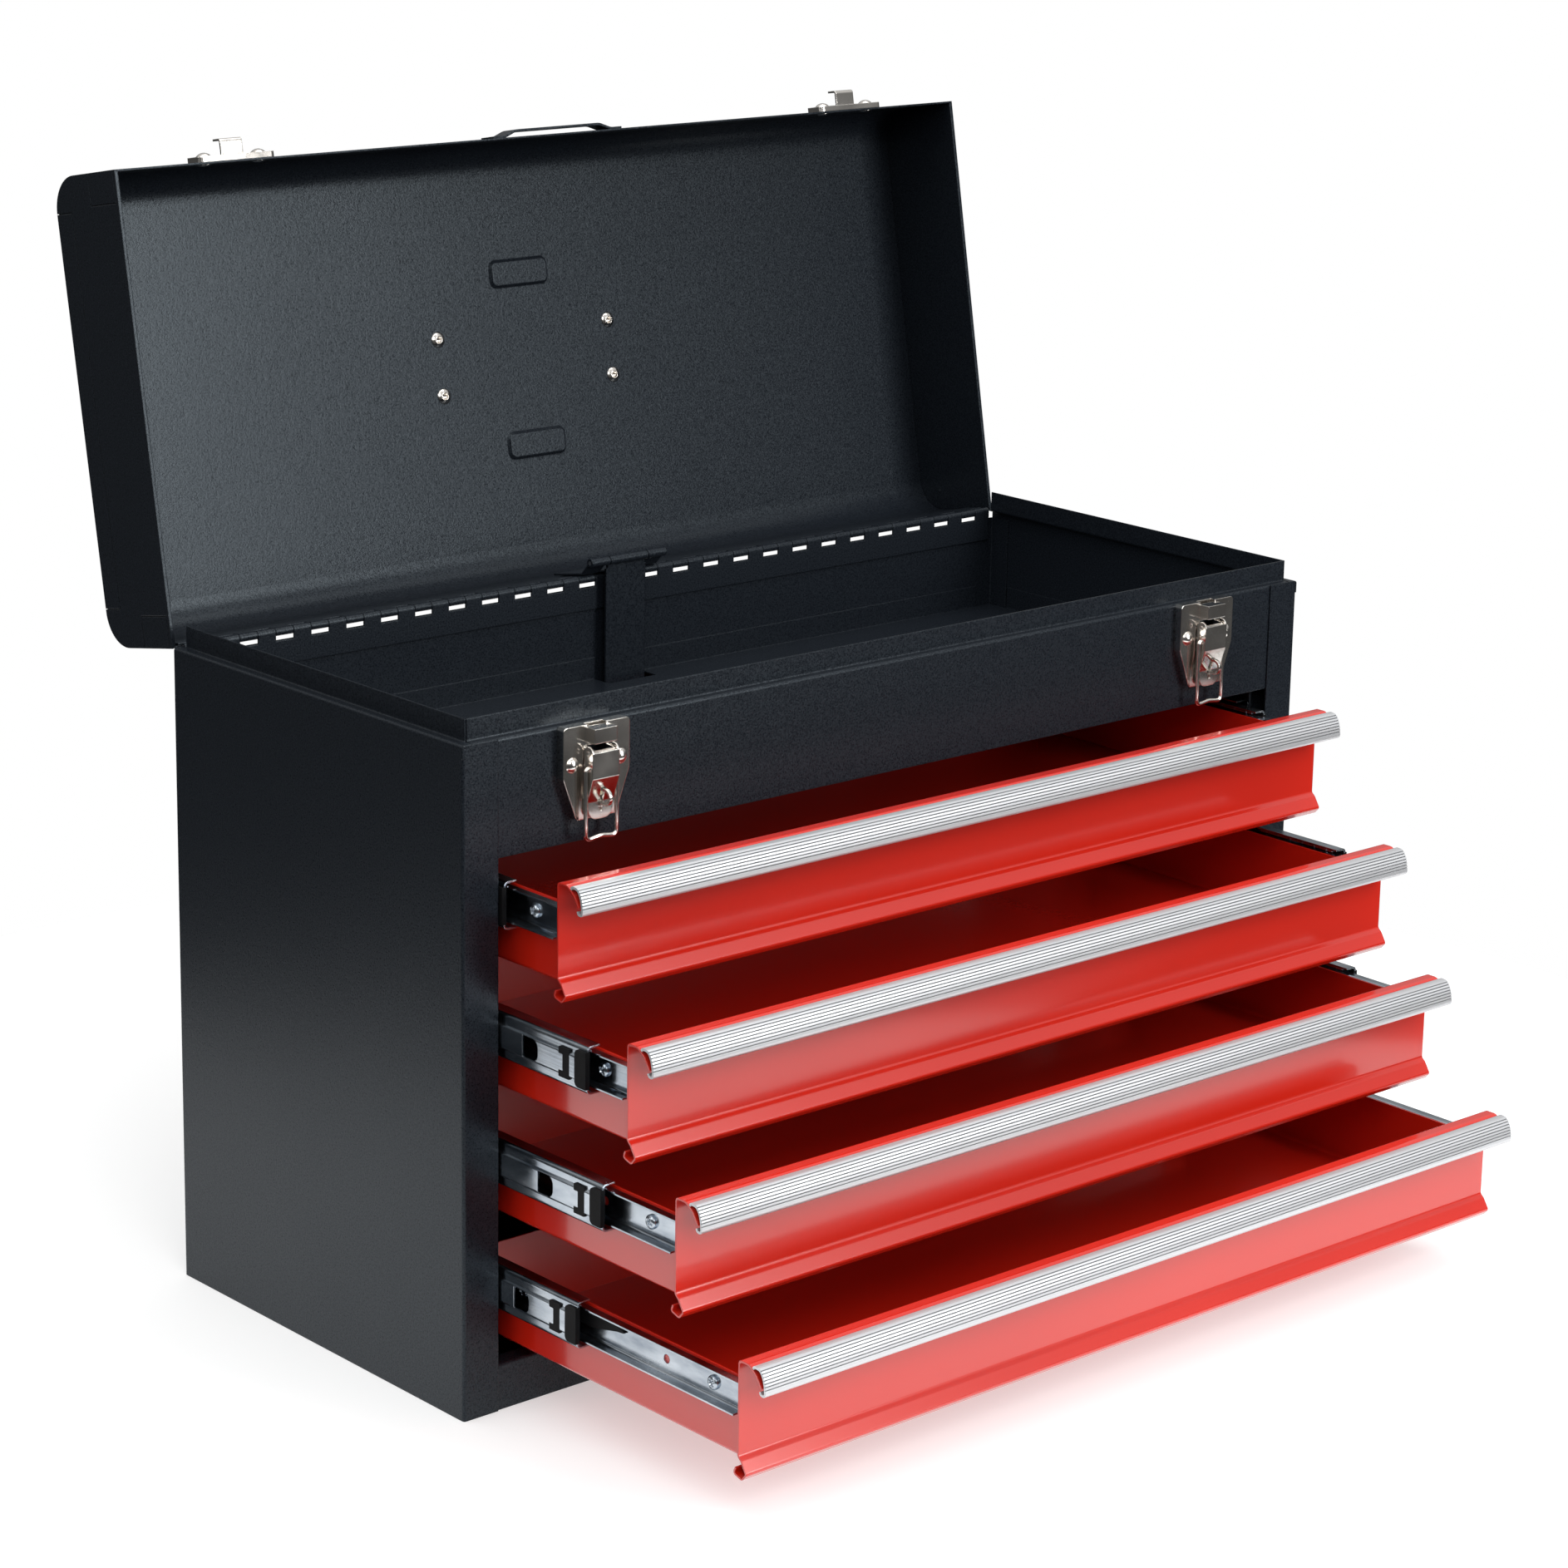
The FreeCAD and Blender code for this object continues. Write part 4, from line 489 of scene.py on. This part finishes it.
def screw_group():
    """Geometry nodes that set a screw at each corner of an upright grid, heads out, turned at random."""
    tree = bpy.data.node_groups.new("screw_rows", "GeometryNodeTree")
    names = {}
    for name, kind in (
        ("Screw", "Geometry"), ("Width", "Float"), ("Pitch", "Float"),
        ("Middle", "Vector"), ("Seed", "Int"), ("Finish", "Material"),
    ):
        socket = tree.interface.new_socket(name=name, in_out="INPUT", socket_type="NodeSocket" + kind)
        names[name] = socket.identifier
    tree.interface.new_socket(name="Rows", in_out="OUTPUT", socket_type="NodeSocketGeometry")
    given = add_node(tree, "NodeGroupInput", {}).outputs
    grid = add_node(tree, "GeometryNodeMeshGrid", {
        "Vertices X": SCREWS_EACH_WAY, "Vertices Y": SCREWS_EACH_WAY,
        "Size X": given["Width"], "Size Y": given["Pitch"],
    })
    moved = add_node(tree, "GeometryNodeSetPosition", {
        "Geometry": grid.outputs["Mesh"], "Offset": given["Middle"],
    })
    spot = add_node(tree, "GeometryNodeInputPosition", {})
    split = add_node(tree, "ShaderNodeSeparateXYZ", {"Vector": spot.outputs["Position"]})
    left = add_node(tree, "ShaderNodeMath", {0: split.outputs["X"], 1: 0.0}, operation="LESS_THAN")
    half_turn = add_node(tree, "ShaderNodeMath", {
        0: left.outputs["Value"], 1: math.pi,
    }, operation="MULTIPLY")
    roll = add_node(tree, "FunctionNodeRandomValue", {
        "Max": math.pi, "Seed": given["Seed"],
    }, data_type="FLOAT")
    rolled = [out for out in roll.outputs if out.enabled][0]
    turns = add_node(tree, "ShaderNodeCombineXYZ", {"X": rolled, "Z": half_turn.outputs["Value"]})
    copies = add_node(tree, "GeometryNodeInstanceOnPoints", {
        "Points": moved.outputs["Geometry"],
        "Instance": given["Screw"],
        "Rotation": turns.outputs["Vector"],
    })
    real = add_node(tree, "GeometryNodeRealizeInstances", {"Geometry": copies.outputs["Instances"]})
    dressed = add_node(tree, "GeometryNodeSetMaterial", {
        "Geometry": real.outputs["Geometry"], "Material": given["Finish"],
    })
    add_node(tree, "NodeGroupOutput", {"Rows": dressed.outputs["Geometry"]})
    return tree, names


def drawer_screws(row, screw, group, names):
    """The four screws and nuts of a drawer's inner members."""
    node = f"drawer_{row}_screws"
    low, high = (Vector(corner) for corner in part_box(node))
    radius = (high.z - low.z) / 2
    piece = bpy.data.objects.new(f"screws_{row}", screw.copy())
    bpy.context.collection.objects.link(piece)
    rows = piece.modifiers.new("rows", "NODES")
    rows.node_group = group
    rows[names["Width"]] = 2 * (high.x - HEAD_FROM_WEB * MM)
    rows[names["Pitch"]] = high.y - low.y - 2 * radius
    rows[names["Middle"]] = (0.0, (low.y + high.y) / 2, (low.z + high.z) / 2)
    rows[names["Seed"]] = row
    rows[names["Finish"]] = FINISHES["zinc_steel"]
    piece.update_tag()
    seen = piece.evaluated_get(bpy.context.evaluated_depsgraph_get())
    mesh = bpy.data.meshes.new_from_object(seen)
    bpy.context.collection.objects.unlink(piece)
    piece.modifiers.remove(rows)
    piece.data = mesh
    place(piece, f"drawer_{row}", node, "zinc_steel")


def release_levers(row):
    """Black levers that free a drawer's inner members, one each side."""
    low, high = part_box(f"drawer_{row}_inner_slides")
    middle = (low[2] + high[2]) / 2
    shape = bmesh.new()
    for side in (-1, 1):
        inside, outside = (
            [
                shape.verts.new((side * x * MM, low[1] + back * MM, middle + rise * MM))
                for back, rise in LEVER_LINE
            ]
            for x in (WEB_FACE + LEVER_INSIDE, WEB_FACE + LEVER_INSIDE + LEVER_THICKNESS)
        )
        shape.faces.new(inside)
        shape.faces.new(list(reversed(outside)))
        for i in range(len(inside)):
            j = (i + 1) % len(inside)
            shape.faces.new((inside[i], outside[i], outside[j], inside[j]))
    bmesh.ops.recalc_face_normals(shape, faces=shape.faces)
    bmesh.ops.bevel(
        shape, geom=list(shape.edges), offset=LEVER_EDGE * MM, segments=LEVER_EDGE_STEPS,
        affect="EDGES", clamp_overlap=True,
    )
    mesh = bpy.data.meshes.new(f"release_levers_{row}")
    shape.to_mesh(mesh)
    shape.free()
    smoothed(mesh, LEVER_SHARP_ANGLE)
    piece = bpy.data.objects.new(f"release_levers_{row}", mesh)
    place(piece, f"drawer_{row}", None, "black_plastic")


one_screw = screw_mesh()
rows_group, rows_names = screw_group()
for row in DRAWERS:
    drawer_pull(row)
    drawer_screws(row, one_screw, rows_group, rows_names)
    release_levers(row)


# Floor, light and camera
def stage_floor():
    """Plain pale round floor just under the box, glowing a little so that it reads as white."""
    mesh = bpy.data.meshes.new("floor")
    rim = [2 * math.pi * i / FLOOR_SIDES for i in range(FLOOR_SIDES)]
    corners = [(FLOOR_RADIUS * math.cos(turn), FLOOR_RADIUS * math.sin(turn), 0) for turn in rim]
    mesh.from_pydata(corners, [], [tuple(range(FLOOR_SIDES))])
    floor = bpy.data.objects.new("floor", mesh)
    bpy.context.collection.objects.link(floor)
    floor.location.z = FLOOR_LEVEL
    material, tree, shader, where = new_material("floor_paper")
    set_inputs(tree, shader, {
        "Base Color": ramp(tree, noise(tree, where, scale=1.5), FLOOR_SHADES),
        "Roughness": 0.9,
        "Specular IOR Level": 0.1,
        "Emission Color": WHITE,
        "Emission Strength": FLOOR_GLOW,
    })
    mesh.materials.append(material)


def softbox(name, spot, size, power):
    """Large rectangular lamp aimed at the middle of the box."""
    data = bpy.data.lights.new(name, "AREA")
    data.shape = "RECTANGLE"
    data.size, data.size_y = size
    data.energy = power
    lamp = bpy.data.objects.new(name, data)
    lamp.location = spot
    lamp.rotation_mode = "QUATERNION"
    lamp.rotation_quaternion = (Vector(MIDDLE) - Vector(spot)).to_track_quat("-Z", "Y")
    bpy.context.collection.objects.link(lamp)


def studio_light():
    """White backdrop, surroundings that darken towards the horizon, and the soft lamps."""
    world = bpy.data.worlds.new("studio")
    world.use_nodes = True
    tree = world.node_tree
    room = tree.nodes["Background"]
    backdrop = add_node(tree, "ShaderNodeBackground", {"Color": WHITE})
    where = add_node(tree, "ShaderNodeTexCoord", {})
    split = add_node(tree, "ShaderNodeSeparateXYZ", {"Vector": where.outputs["Generated"]})
    set_inputs(tree, room, {"Color": ramp(tree, split.outputs["Z"], ROOM_SHADES)})
    path = add_node(tree, "ShaderNodeLightPath", {})
    mix = add_node(tree, "ShaderNodeMixShader", {
        0: path.outputs["Is Camera Ray"],
        1: room.outputs["Background"],
        2: backdrop.outputs["Background"],
    })
    set_inputs(tree, tree.nodes["World Output"], {"Surface": mix.outputs["Shader"]})
    scene = bpy.context.scene
    scene.world = world
    scene.view_settings.view_transform = "Standard"
    for lamp in LAMPS:
        softbox(*lamp)


def photo_camera():
    """Camera at the photograph's viewing angle."""
    yaw, pitch, roll = (math.radians(angle) for angle in (CAMERA_YAW, CAMERA_PITCH, CAMERA_ROLL))
    look = Vector((math.sin(yaw) * math.cos(pitch), math.cos(yaw) * math.cos(pitch), -math.sin(pitch)))
    level = Vector((math.cos(yaw), -math.sin(yaw), 0.0))
    upright = level.cross(look)
    right = math.cos(roll) * level + math.sin(roll) * upright
    up = math.cos(roll) * upright - math.sin(roll) * level
    data = bpy.data.cameras.new("photo_camera")
    data.sensor_width = CAMERA_SENSOR
    data.lens = CAMERA_LENS
    data.shift_x, data.shift_y = CAMERA_SHIFT
    data.clip_start, data.clip_end = CAMERA_CLIP
    camera = bpy.data.objects.new("photo_camera", data)
    turn = Matrix((right, up, -look)).transposed()
    camera.matrix_world = Matrix.Translation(CAMERA_PLACE) @ turn.to_4x4()
    bpy.context.collection.objects.link(camera)
    bpy.context.scene.camera = camera


stage_floor()
studio_light()
photo_camera()
